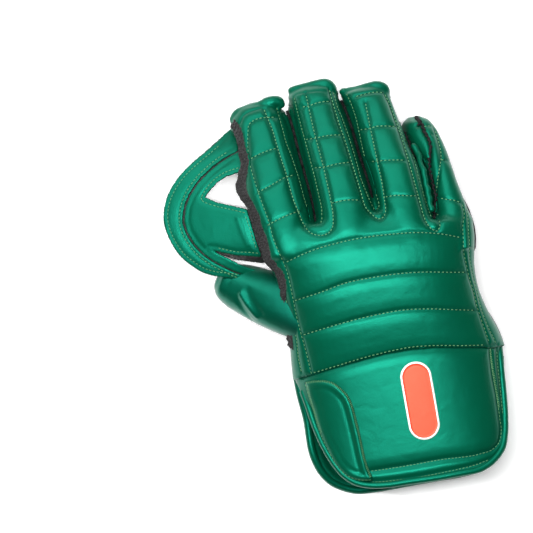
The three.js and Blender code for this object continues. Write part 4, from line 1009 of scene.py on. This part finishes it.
# Cuff: an arched back panel and a flat palm panel, with rolled edges.
cuffBackEdge = [
    (-0.297, 0.313), (-0.285, 0.282), (-0.275, 0.239), (-0.265, 0.19), (-0.244, 0.129),
    (-0.224, 0.092), (-0.196, 0.058), (-0.163, 0.037), (-0.122, 0.025), (-0.061, 0.018),
    (0.0, 0.017), (0.081, 0.015), (0.163, 0.015), (0.244, 0.018), (0.277, 0.028), (0.305, 0.043),
    (0.326, 0.061), (0.342, 0.092), (0.352, 0.129), (0.36, 0.178), (0.367, 0.239), (0.375, 0.294),
]
cuffPalmEdge = [
    (-0.297, 0.32), (-0.295, 0.264), (-0.289, 0.215), (-0.285, 0.107), (-0.273, 0.077),
    (-0.244, 0.043), (-0.204, 0.021), (-0.163, 0.008), (-0.102, 0.003), (0.0, 0.003),
    (0.102, 0.003), (0.183, 0.003), (0.244, 0.008), (0.277, 0.017), (0.305, 0.034), (0.326, 0.055),
    (0.342, 0.08), (0.358, 0.123), (0.367, 0.184), (0.373, 0.239), (0.38, 0.278),
]
cuffValues = {
    "height": 64.0, "seam": 30.0, "backSides": (-0.287, 0.368), "palmSides": (-0.299, 0.383),
    "crownPower": 2.4, "underPower": 4.0, "piping": 6.0, "rollRadius": 2.5, "rollDrop": 0.9, "wall": 4.0,
    "step": 1.35, "swell": 1.0, "fill": 0.6, "facing": 13.0,
}
pipingRadius = cuffValues["piping"] / 2


# How high a bend stands across a panel, from 0 at its sides to 1 in the middle.
def bendAt(x, sides, power):
    left, right = np.array(sides) * gloveWidth
    u = np.minimum(np.abs((2 * x - left - right) / (right - left)), 1)
    return (1 - u**power) ** (1 / power)


def archHeight(x, y):
    lift = np.interp(y / gloveLength, [0, 0.3, 0.45], [0, 0.046, 0.08]) * gloveHeight
    rise = cuffValues["height"] - cuffValues["seam"] + lift
    return cuffValues["seam"] + bendAt(x, cuffValues["backSides"], cuffValues["crownPower"]) * rise


def trayHeight(x, y=None):
    drop = bendAt(x, cuffValues["palmSides"], cuffValues["underPower"]) * (cuffValues["seam"] + 0.6)
    return np.maximum(cuffValues["seam"] - drop, 0)


# A line moved to its left by a distance.
def aside(line, distance):
    way = unit(np.gradient(line, axis=0))
    return line + np.stack([-way[:, 1], way[:, 0]], 1) * distance


def insetLine(shares, distance):
    return aside(onGlove(shares), distance)


# A panel's outline, closed past the wrist.
def panelOutline(edge, distance):
    return np.concatenate([insetLine(edge, distance), [(95, 200), (-75, 200)]])


# Panel from its rolled edge up to the wrist, with even columns round its bend.
def cuffPanel(edge, sides, heightAt, wrist):
    left, right = np.array(sides) * gloveWidth
    middle = (left + right) / 2
    line = alongLine(onGlove(edge), 0.8)
    lowest = int(np.argmin(np.abs(line[:, 0] - middle)))
    dense = middle - (right - left) / 2 * np.cos(np.linspace(0, math.pi, 1500))
    height = heightAt(dense, np.full(1500, 60.0))
    length = np.concatenate([[0], np.cumsum(np.hypot(np.diff(dense), np.diff(height)))])
    x = np.interp(np.linspace(0, length[-1], int(length[-1] / cuffValues["step"])), length, dense)
    one, two = (np.interp(x, *half[np.argsort(half[:, 0])].T) for half in (line[:lowest + 1], line[lowest:]))
    low = np.where(x < middle, one, two)
    high = lineAt(wrist, x) - seamValues["wristGap"]
    rows = int((high - low).max() / cuffValues["step"])
    y = low + (np.maximum(high, low + 0.5) - low) * np.linspace(0, 1, rows)[:, None]
    xs = np.repeat(x[None], rows, 0)
    points = np.stack([xs, y, heightAt(xs, y)], 2).reshape(-1, 3)
    triangles = triangulated(gridFaces(rows, len(x)))
    if heightAt is trayHeight:
        triangles = triangles[:, ::-1]
    return cutWhere(points, triangles, insidePlan(points, panelOutline(edge, 1.5)))


# A panel's wall, with a leather facing inside along its edge.
def faced(points, triangles, edge):
    allPoints, faces, slots = walled(points, triangles, cuffValues["wall"])
    near = insidePlan(allPoints[faces].mean(1), panelOutline(edge, 0.0)) < cuffValues["facing"]
    return allPoints, faces, np.where(near, 0, slots)


def cuffPieces(side, points, triangles, edge, shade, path, radius, turns):
    makePiece(f"cuff_{side}_panel", faced(points, triangles, edge), [leatherFinish, liningFinish],
              replaces=["cuff_" + side], slot="leather", pad=cuffValues["fill"], seam=shade)
    makePiece(f"cuff_{side}_roll", rolledEdge(path, radius, turns), [leatherFinish], sharp=0,
              replaces=[f"cuff_{side}_piping"], slot="leather")


cuffStitch = {
    "outer": [
        (-60, 71.5), (-57.5, 52.5), (-54, 38), (-49, 25.5), (-42.5, 17), (-35.5, 14), (-25.5, 12), (0, 10),
        (28.5, 10), (57, 12), (68.5, 15), (75.5, 22), (78, 30.5), (79, 47.5), (80.5, 66.5), (81.5, 81),
        (83, 93),
    ],
    "inner": [
        (-25, 20), (0, 19.5), (28.5, 19.5), (57, 18.5), (66.5, 20), (72.5, 24.5), (75, 30.5), (76, 43),
        (76.5, 57), (76.5, 76), (78, 95),
    ],
    "palm": [
        (-62, 70), (-61, 40), (-57, 24), (-48, 13), (-36, 9), (-20, 7.5), (0, 7.5), (40, 7.5), (58, 9),
        (70, 16), (77, 28), (80, 50), (82, 70),
    ],
}
points, triangles = cuffPanel(cuffBackEdge, cuffValues["backSides"], archHeight, wristLine)
cuffLines = [(cuffStitch["outer"], 1.1, 1.6), (cuffStitch["inner"], 1.3, 1.8), (quiltLines["quiltA"], 1.3, 1.9)]
points, cuffShade = quilted(points, triangles, cuffLines, cuffValues["swell"])
sewOn(points, triangles, [cuffStitch["outer"], cuffStitch["inner"]], "edge", 2.6)
cuffTree = treeOf(points, triangles)
path = insetLine(cuffBackEdge + [(0.379, 0.304), (0.381, 0.315)], cuffValues["rollRadius"])
path = np.column_stack([path, archHeight(*path.T) - cuffValues["rollDrop"]])
path = path[path[:, 1] < np.where(path[:, 0] > 0, 98, lineAt(wristLine, path[:, 0]) - 1)]
cuffPieces("back", points, triangles, cuffBackEdge, cuffShade, path, cuffValues["rollRadius"], 16)

points, triangles = cuffPanel(cuffPalmEdge, cuffValues["palmSides"], trayHeight, palmWristLine)
points, palmShade = quilted(points, triangles, [(cuffStitch["palm"], 1.0, 1.5)], 0.0, fromAbove=False)
points[:, 2] = np.maximum(points[:, 2], 0.0)
sewOn(points, triangles, [cuffStitch["palm"]], "edge", 2.6, fromAbove=False)
path = insetLine(cuffPalmEdge, pipingRadius)
path = np.column_stack([path, np.minimum(trayHeight(path[:, 0]) + pipingRadius,
                                         cuffValues["seam"] - pipingRadius)])
path = path[past(palmWristLine, path) < -1]
cuffPieces("palm", points, triangles, cuffPalmEdge, palmShade, path, pipingRadius, 12)
print("cuff ready")


# Flat patch of a plan outline, laid over a height.
def patch(outline, step):
    outline = np.asarray(outline, float)
    low, high = outline.min(0) - step, outline.max(0) + step
    columns, rows = (int(v) + 2 for v in (high - low) / step)
    xs, ys = np.meshgrid(low[0] + np.arange(columns) * step, low[1] + np.arange(rows) * step)
    points = np.stack([xs, ys, xs * 0], 2).reshape(-1, 3)
    return cutWhere(points, triangulated(gridFaces(rows, columns)), insidePlan(points, outline))


# Raised trim on the thumb side of the cuff.
trimValues = {"thickness": 1.8, "wall": 1.2, "fill": 0.8, "step": 1.1}
trimOutline = [
    (-61.5, 93), (-55.2, 93), (-47.7, 92.1), (-41, 89.3), (-36.3, 84.6), (-32.3, 79), (-30.4, 73.2), (-29, 61.7),
    (-28.1, 47.4), (-26.7, 23.9), (-24.8, 13), (-35.1, 14.3), (-42.3, 18), (-49.1, 26.4), (-53.8, 39.1),
    (-57.6, 52.4), (-59.9, 70.4),
]
outline = alongLine(trimOutline + trimOutline[:1], 2.0)
points, triangles = patch(outline, trimValues["step"])
depth = insidePlan(points, outline)
points = laidOn(cuffTree, points[:, :2])
rightSide = np.clip((points[:, 0] + 42) / 10, 0, 1)
points[:, 2] += 0.25 + trimValues["thickness"] * np.sqrt(np.clip(depth / 1.6, 0, 1))
points[:, 2] += bell(depth - 3.0, 2.2) * (0.3 + 0.9 * rightSide) - bell(depth - 6.6, 1.0) * (0.2 + 0.5 * rightSide)
sheetPiece("cuff_trim_pad", points, triangles, trimValues["wall"], leatherFinish, leatherFinish,
           replaces=["cuff_trim"], slot="leather", pad=trimValues["fill"])
trimTree, inner = treeOf(points, triangles), aside(np.array(trimOutline, float), -1.1)
for tree, line, kind in (
        (trimTree, inner[:11], "hatch"), (trimTree, np.concatenate([inner[10:], inner[:1]]), "edge"),
        (trimTree, [(-59.6, 91), (-59.4, 84), (-58.3, 74), (-56.8, 62), (-55.4, 53)], "hatch"),
        (cuffTree, [(77.5, 94), (77, 80), (76.8, 62), (76.6, 48)], "hatch")):
    stitchRuns.append((laidOn(tree, alongLine(line, 0.65)), kind))

# Plain badge, of rings from its edge inward. Columns: how far in, how high.
badgeValues = {"length": 58.0, "width": 23.0, "centre": (0.084, 0.21), "wall": 0.5}
badgeRows = [(0, 0.1), (0.3, 0.4), (1.3, 0.5), (1.35, 0.46)] + [(inset, 0.5) for inset in (3.0, 5.0, 7.0, 9.0, 11.0)]
turns = np.linspace(0, 2 * math.pi, 73)[:-1]
ends = np.sign(np.sin(turns).round(6)) * (badgeValues["length"] - badgeValues["width"]) / 2


def badgeRing(inset):
    radius = badgeValues["width"] / 2 - inset
    return np.stack([np.cos(turns) * radius, np.sin(turns) * radius + ends], 1) + onGlove(badgeValues["centre"])


points = laidOn(cuffTree, np.concatenate([badgeRing(inset) for inset, height in badgeRows]))
points[:, 2] += np.repeat([height for inset, height in badgeRows], len(turns))
last, half = len(points) - 1, len(turns) // 2
fill = [(last - 71 + k, last - 70 + k, last - 1 - k, last - k) for k in range(half - 1)]
triangles = triangulated(np.concatenate([gridFaces(len(badgeRows), len(turns), True), np.array(fill)]))
solidPoints, faces, slots = walled(points, upward(points, triangles), badgeValues["wall"])
printed = (faces.min(1) >= 3 * len(turns)) & (faces.max(1) < len(points))
makePiece("cuff_badge_print", (solidPoints, faces, np.where(printed, 0, 1)), [printFinish, borderFinish],
          replaces=["cuff_badge"], slot="badge_print")
print("trim ready")

# Web between the thumb and the first finger.
webOuterEdge = [
    (-0.346, 0.929), (-0.407, 0.902), (-0.448, 0.883), (-0.489, 0.865), (-0.53, 0.844),
    (-0.562, 0.822), (-0.587, 0.798), (-0.607, 0.767), (-0.615, 0.736), (-0.611, 0.706),
    (-0.599, 0.675), (-0.578, 0.644), (-0.554, 0.623), (-0.521, 0.601), (-0.481, 0.586),
    (-0.44, 0.577), (-0.405, 0.568), (-0.37, 0.562),
]
webSeamLine = [
    (-0.342, 0.873), (-0.375, 0.865), (-0.411, 0.853), (-0.448, 0.837), (-0.489, 0.814),
    (-0.521, 0.788), (-0.542, 0.761), (-0.554, 0.73), (-0.55, 0.699), (-0.534, 0.669),
    (-0.509, 0.641), (-0.481, 0.62), (-0.448, 0.601), (-0.42, 0.586), (-0.39, 0.575), (-0.36, 0.568),
]
webThumbEdge = [
    (-0.345, 0.578), (-0.375, 0.589), (-0.403, 0.602), (-0.431, 0.618), (-0.464, 0.636), (-0.484, 0.65),
    (-0.464, 0.6445), (-0.448, 0.639), (-0.407, 0.627), (-0.367, 0.62), (-0.33, 0.612),
]
webFingerEdge = [(-0.338, 0.65), (-0.344, 0.69)]
webWindowEdge = [
    (-0.35, 0.729), (-0.399, 0.745), (-0.44, 0.758), (-0.475, 0.776), (-0.456, 0.791),
    (-0.428, 0.808), (-0.395, 0.819), (-0.342, 0.825),
]
webHeightRows = [
    (-0.66, 0.29, 0.3, 0.2), (-0.55, 0.37, 0.38, 0.27), (-0.45, 0.43, 0.47, 0.31),
    (-0.35, 0.47, 0.55, 0.34), (-0.25, 0.5, 0.6, 0.36),
]
webStations = (0.58, 0.7, 0.86)  # where the three heights of each row lie along the glove
webValues = {"leather": 2.0, "rubber": 2.6, "seamWidth": 1.8, "puff": 0.45, "bandPuff": 0.25, "tuck": 3.0,
             "slotEdge": 3.5, "step": 1.1, "lift": 1.6, "underFinger": 0.012, "underRubber": 0.05}


def webHeight(x, y):
    near, middle, far = rowsAt(webHeightRows, x / gloveWidth)[:, 1:].T
    first, second, last = webStations
    share = np.clip((y / gloveLength - first) / (last - first), -0.3, 1.3)
    centre = (second - first) / (last - first)
    height = near * (share - centre) * (share - 1) / centre + far * share * (share - centre) / (1 - centre)
    height += middle * share * (share - 1) / (centre * (centre - 1))
    tuck = np.clip((x + 96) / 12, 0, 1) * np.clip((191 - y) / 6, 0, 1) * webValues["tuck"]
    return height * gloveHeight - tuck


# A line's first or last point, moved under the finger.
def under(line, k, distance=webValues["underRubber"]):
    return onGlove([(line[k][0] + distance, line[k][1])])


def webPiece(name, replaced, outline, puff, folds=()):
    points, triangles = patch(outline, webValues["step"])
    depth = insidePlan(points, outline)
    rise = webValues["lift"] + puff * (1 - bell(depth, 3.5)) - 0.7 * puff * bell(depth - 3.0, 0.9)
    for fold, height in folds:
        spots = alongLine([(x, y, 0) for x, y in fold], 1.0)
        rise += height * bell(distanceTo(points, spots, 9), 1.6)
    points[:, 2] = webHeight(*points.T[:2]) + rise
    sheetPiece(name, points, triangles, webValues["leather"], leatherFinish, leatherFinish, replaces=[replaced],
               slot="leather")
    return points, triangles


# A line beside another one, on the side that lies inside an outline.
def within(line, outline, distance):
    sides = [insetLine(line, way * distance) for way in (1, -1)]
    return max(sides, key=lambda side: insidePlan(side, outline).mean())[1:-1]


seamHalf = webValues["seamWidth"] / 2
bandLine = np.concatenate([under(webOuterEdge, 0, webValues["underFinger"]), onGlove(webOuterEdge)])
bandOutline = np.concatenate([alongLine(line, 1.5) for line in (bandLine, insetLine(webSeamLine, -seamHalf)[::-1])])
band = webPiece("web_band_leather", "web_band", bandOutline, webValues["bandPuff"])
teeOutline = np.concatenate([insetLine(webSeamLine, seamHalf)]
                            + [onGlove(line) for line in (webThumbEdge, webFingerEdge, webWindowEdge)])
folds = [([(-85.6, 221), (-84, 208), (-81.6, 195)], 0.45), ([(-89.5, 221), (-88, 212), (-85.5, 200)], 0.4)]
tee = webPiece("web_tee_leather", "web_tee", teeOutline, webValues["puff"], folds)
faceOutline = np.concatenate([
    under(webOuterEdge, 0), onGlove(webOuterEdge), onGlove(webThumbEdge), under(webThumbEdge, -1),
    under(webWindowEdge, 0), onGlove(webWindowEdge), under(webWindowEdge, -1)])
lower = slice(len(webOuterEdge) + 1 + 5, len(webOuterEdge) + 1 + len(webThumbEdge) + 1)
faceOutline[lower, 1] -= np.clip((faceOutline[lower, 0] + 112) / 12, 0, 1) * webValues["slotEdge"]
points, triangles = patch(faceOutline, webValues["step"])
points, triangles = cutWhere(points, triangles, insidePlan(points, faceOutline) - 0.7)
points[:, 2] = webHeight(*points.T[:2]) - webValues["rubber"]
webFace = cutWhere(points, triangles[:, ::-1], -62.0 - points[:, 0])
sheetPiece("web_face_rubber", *webFace, webValues["rubber"], rubberFinish, rubberFinish, replaces=["web_rubber"],
           slot="pimpled_rubber")
sewOn(*band, [within(line, bandOutline, 3.0) for line in (webOuterEdge, webSeamLine)], "edge", 2.8)
teeLines = [[(-0.33, 0.722)] + webWindowEdge + [(-0.32, 0.827)], webThumbEdge[5:] + [(-0.31, 0.607)]]
sewOn(*tee, [within(line, teeOutline, 2.4) for line in teeLines]
      + [[(-83.4, 221.5), (-81.8, 212), (-80.6, 203), (-79.2, 194.5)]], "edge", 2.8)
print("web ready")

# Thumb: leather back and rubber face round one bent axis.
thumbRows = [
    (-0.18, 0.435, 0.6, 0.085, 1.0), (-0.24, 0.468, 0.54, 0.09, 1.08), (-0.3, 0.496, 0.46, 0.09, 1.1),
    (-0.35, 0.52, 0.37, 0.086, 1.08), (-0.39, 0.539, 0.3, 0.08, 1.05), (-0.425, 0.554, 0.25, 0.072, 1.0),
    (-0.455, 0.567, 0.225, 0.058, 0.9), (-0.474, 0.576, 0.215, 0.036, 0.62), (-0.479, 0.5785, 0.212, 0.017, 0.33),
    (-0.4815, 0.5797, 0.211, 0.0005, 0.005),
]
thumbValues = {"thickness": 31.0, "wall": 2.4, "sides": 96, "fill": 0.8, "least": 300, "inHand": 1.0}
thumbCreases = [  # a fold across the thumb: a raised line between two hollows
    ([(-97, 165), (-93.5, 156), (-88.5, 146.5)], -1.1, 1.8), ([(-100, 161), (-96.5, 152.5), (-92.5, 145)], 0.6, 2.2),
    ([(-92, 167), (-89, 158), (-84.5, 148.5)], 0.6, 2.2),
]


def thumbSurface(fromTurn, toTurn):
    sizes = (gloveWidth, gloveLength, gloveHeight, gloveWidth, thumbValues["thickness"])
    table = alongLine(np.array(thumbRows) * sizes, 1.1)
    ahead, across, up = directionsOf(table[:, :3])
    turns = np.linspace(fromTurn, toTurn, thumbValues["sides"] // 2)
    wide = signedPower(np.cos(turns), 0.9)[None, :, None] * np.maximum(table[:, 3], 0.1)[:, None, None]
    tall = signedPower(np.sin(turns), 0.85)[None, :, None] * np.maximum(table[:, 4], 0.2)[:, None, None] / 2
    points = (table[:, None, :3] + across[:, None] * wide + up[:, None] * tall).reshape(-1, 3)
    triangles = triangulated(gridFaces(len(table), len(turns)))
    outward = (pointNormals(points, triangles) * (points - points.mean(0))).sum() > 0
    return points, triangles if outward else triangles[:, ::-1]


# How far each point lies outside the hand.
def outsideHand(points):
    away = []
    for p in points.tolist():
        spot, normal, index, distance = handTree.find_nearest(p)
        away.append(math.copysign(distance, (Vector(p) - spot).dot(normal)))
    return np.array(away)


# On the thumb the seam mask grows where it runs into the hand; on the leather it is painted shade.
for name, replaced, slot, finish, turns in (
        ("thumb_back_leather", "thumb_back", "leather", shadedThumbFinish, (0.04, math.pi - 0.04)),
        ("thumb_face_rubber", "thumb_rubber", "pimpled_rubber", rubberFinish, (math.pi + 0.02, 2 * math.pi - 0.02))):
    points, triangles = thumbSurface(*turns)
    field = outsideHand(points) + thumbValues["inHand"]
    points, triangles = thumb = largeBodies(*cutWhere(points, triangles, field), thumbValues["least"])
    if slot == "leather":
        points = quilted(points, triangles, thumbCreases, 0.0)[0]
    sheetPiece(name, points, triangles, thumbValues["wall"], finish, replaces=[replaced], slot=slot,
               pad=thumbValues["fill"] if slot == "leather" else None,
               seam=0.85 * bell(np.maximum(outsideHand(points), 0), 8))
print("thumb ready")


# Faces of a small bead of rings, closed at its last ring and, where asked, at its first.
def beadFaces(rings, sides, closed=False):
    first, last = list(range(sides)), list(range((rings - 1) * sides, rings * sides))
    return gridFaces(rings, sides, True).tolist() + ([first[::-1]] if closed else []) + [last]


# Small round pimples over the rubber that faces down and out.
pimpleValues = {"pitch": 2.6, "radius": 0.95, "height": 0.55, "sides": 6, "lowest": 0.1}
pimpleRings = ((1.0, -0.2), (0.92, 0.55), (0.55, 1.0))  # each ring's share of the radius and of the height


def pimples(surface, fromBelow=True):
    pitch, height, tree, beads = pimpleValues["pitch"], pimpleValues["height"], treeOf(*surface), []
    turns = [2 * math.pi * k / pimpleValues["sides"] for k in range(pimpleValues["sides"])]
    pattern = beadFaces(len(pimpleRings), len(turns))
    low, high = surface[0].min(0), surface[0].max(0)
    start, way = (-60.0, 1.0) if fromBelow else (200.0, -1.0)
    for row in range(int((high[1] - low[1]) / (pitch * 0.866)) + 1):
        x, y = low[0] + (row % 2) * pitch / 2, low[1] + row * pitch * 0.866
        while x < high[0]:
            spot, normal, index, distance = tree.ray_cast(Vector((x, y, start)), Vector((0, 0, way)))
            x += pitch
            if spot is None or abs(normal.z) < 0.2:
                continue
            if not fromBelow and backTree.ray_cast(spot, Vector((0, 0, 1.0)))[0] is not None:
                continue  # under the leather
            if normal.z * way > 0:
                normal = -normal
            side = normal.orthogonal().normalized()
            other = normal.cross(side)
            if fromBelow and spot.z - height < pimpleValues["lowest"]:
                spot = Vector((spot.x, spot.y, pimpleValues["lowest"] + height))
            beads.append((np.array([
                tuple(spot + (side * math.cos(turn) + other * math.sin(turn)) * wide * pimpleValues["radius"]
                      + normal * rise * height) for wide, rise in pimpleRings for turn in turns]), pattern))
    return joined(beads)


points, faces = joined([pimples(rubber), pimples(webFace), pimples(thumb), pimples(flap[:2], fromBelow=False)])
makePiece("rubber_pimples", (points, faces), [rubberFinish], sharp=0, slot="pimpled_rubber")
print("pimples", len(faces) // 13)

# Sewing: pale thread, with a dark mark before each stitch that is painted shade in its needle hole.
threadValues = {
    "quilt": {"length": 1.7, "radius": 0.36, "hole": 1.4, "lift": 0.1},
    "edge": {"length": 1.8, "radius": 0.26, "hole": 0.9, "lift": 0.08},
    "hatch": {"length": 2.3, "radius": 0.24, "hole": 0.7, "lift": 0.1},
}
stitchRings = ((-0.5, 0.25), (-0.32, 0.9), (0.0, 1.0), (0.32, 0.9), (0.5, 0.25))  # shares of length and radius


def stitchMesh(part, sides=5):
    turns = [2 * math.pi * n / sides for n in range(sides)]
    pattern, beads = beadFaces(len(stitchRings), sides, closed=True), []
    for run, kind in stitchRuns:
        look = threadValues[kind]
        length, radius, lift = look["length"], look["radius"], look["lift"]
        if part == "hole":
            length, radius, lift = look["hole"], radius * 1.25, -0.12
        for k in range(2, len(run) - 3, 2 if kind == "hatch" else 4):
            ahead = run[k + 1] - run[k - 1]
            size = np.linalg.norm(ahead)
            if not np.isfinite(run[k - 2:k + 3]).all() or size < 1e-6 or size > 4:
                continue
            if np.linalg.norm(run[k + 2] - run[k]) > 4:
                continue
            ahead = ahead / size
            if kind == "hatch":
                ahead = unit(np.cross(ahead, (0, 0, 1.0)) + ahead * 0.35)
            across = unit(np.cross(ahead, (0, 0, 1.0)), 1e-6)
            up = np.cross(across, ahead)
            middle = run[k] if part == "thread" else (run[k + 2] + run[k + 1]) / 2
            beads.append((np.array([
                middle + ahead * along * length + across * math.cos(turn) * radius * wide
                + up * (math.sin(turn) * radius * wide * 0.8 + lift) for along, wide in stitchRings
                for turn in turns]), pattern))
    return joined(beads)


makePiece("stitches", stitchMesh("thread"), [threadFinish], sharp=0)
makePiece("stitch_hole_shades", stitchMesh("hole"), [holeShadeFinish], sharp=0)
print("stitches", sum(len(run) for run, kind in stitchRuns) // 4)

# Floor, light and camera
stageValues = {"floor": (0.93, 0.93, 0.93), "fieldWidth": 396.6, "turn": 10.0, "centre": (-74.5, 182.0), "away": 3.4,
               "glow": 0.22, "world": 0.05}
lampValues = {  # place, aim, size and power of each lamp
    "overheadStrip": ((-0.14, 0.06, 1.5), (0.0, 0.02, 0.03), (0.1, 1.1), 30),
    "leftLight": ((-1.1, 0.3, 0.9), (0.0, 0.02, 0.03), (0.4, 0.8), 0.4),
    "topLight": ((-0.3, 1.4, 1.4), (0.0, 0.05, 0.0), (2.2, 1.4), 41),
}


def makeStage():
    white, ring = (1, 1, 1, 1), 4.0
    mesh = bpy.data.meshes.new("floor")
    mesh.from_pydata([(-ring, -ring, 0), (ring, -ring, 0), (ring, ring, 0), (-ring, ring, 0)], [], [(0, 1, 2, 3)])
    mesh.materials.append(newMaterial("floorPaint", {
        "Base Color": (*stageValues["floor"], 1), "Roughness": 0.9, "Specular IOR Level": 0.1,
        "Emission Color": white, "Emission Strength": stageValues["glow"]})[0])
    floor = newObject("floor", mesh)
    floor.location.z = -0.0004
    world = bpy.data.worlds.new("studio")
    world.use_nodes = True
    wire(world.node_tree, world.node_tree.nodes["Background"], {"Color": white, "Strength": stageValues["world"]})
    bpy.context.scene.world = world
    for name, (place, aim, size, power) in lampValues.items():
        lamp = bpy.data.lights.new(name, "AREA")
        lamp.shape = "RECTANGLE"
        lamp.size, lamp.size_y = size
        lamp.energy = power
        holder = newObject(name, lamp)
        holder.location = place
        holder.rotation_euler = (Vector(aim) - Vector(place)).to_track_quat("-Z", "Y").to_euler()
    camera = bpy.data.cameras.new("camera")
    camera.sensor_width = 36
    camera.lens = 36 * stageValues["away"] * 1000 / stageValues["fieldWidth"]
    camera.clip_end = 20
    view = newObject("camera", camera)
    x, y = stageValues["centre"]
    view.location = ((x + shift.x) / 1000, (y + shift.y) / 1000, stageValues["away"] + 0.03)
    view.rotation_euler = (0, 0, -math.radians(stageValues["turn"]))
    bpy.context.scene.camera = view


makeStage()
bpy.context.scene.view_settings.view_transform = "Standard"
print("stage ready")
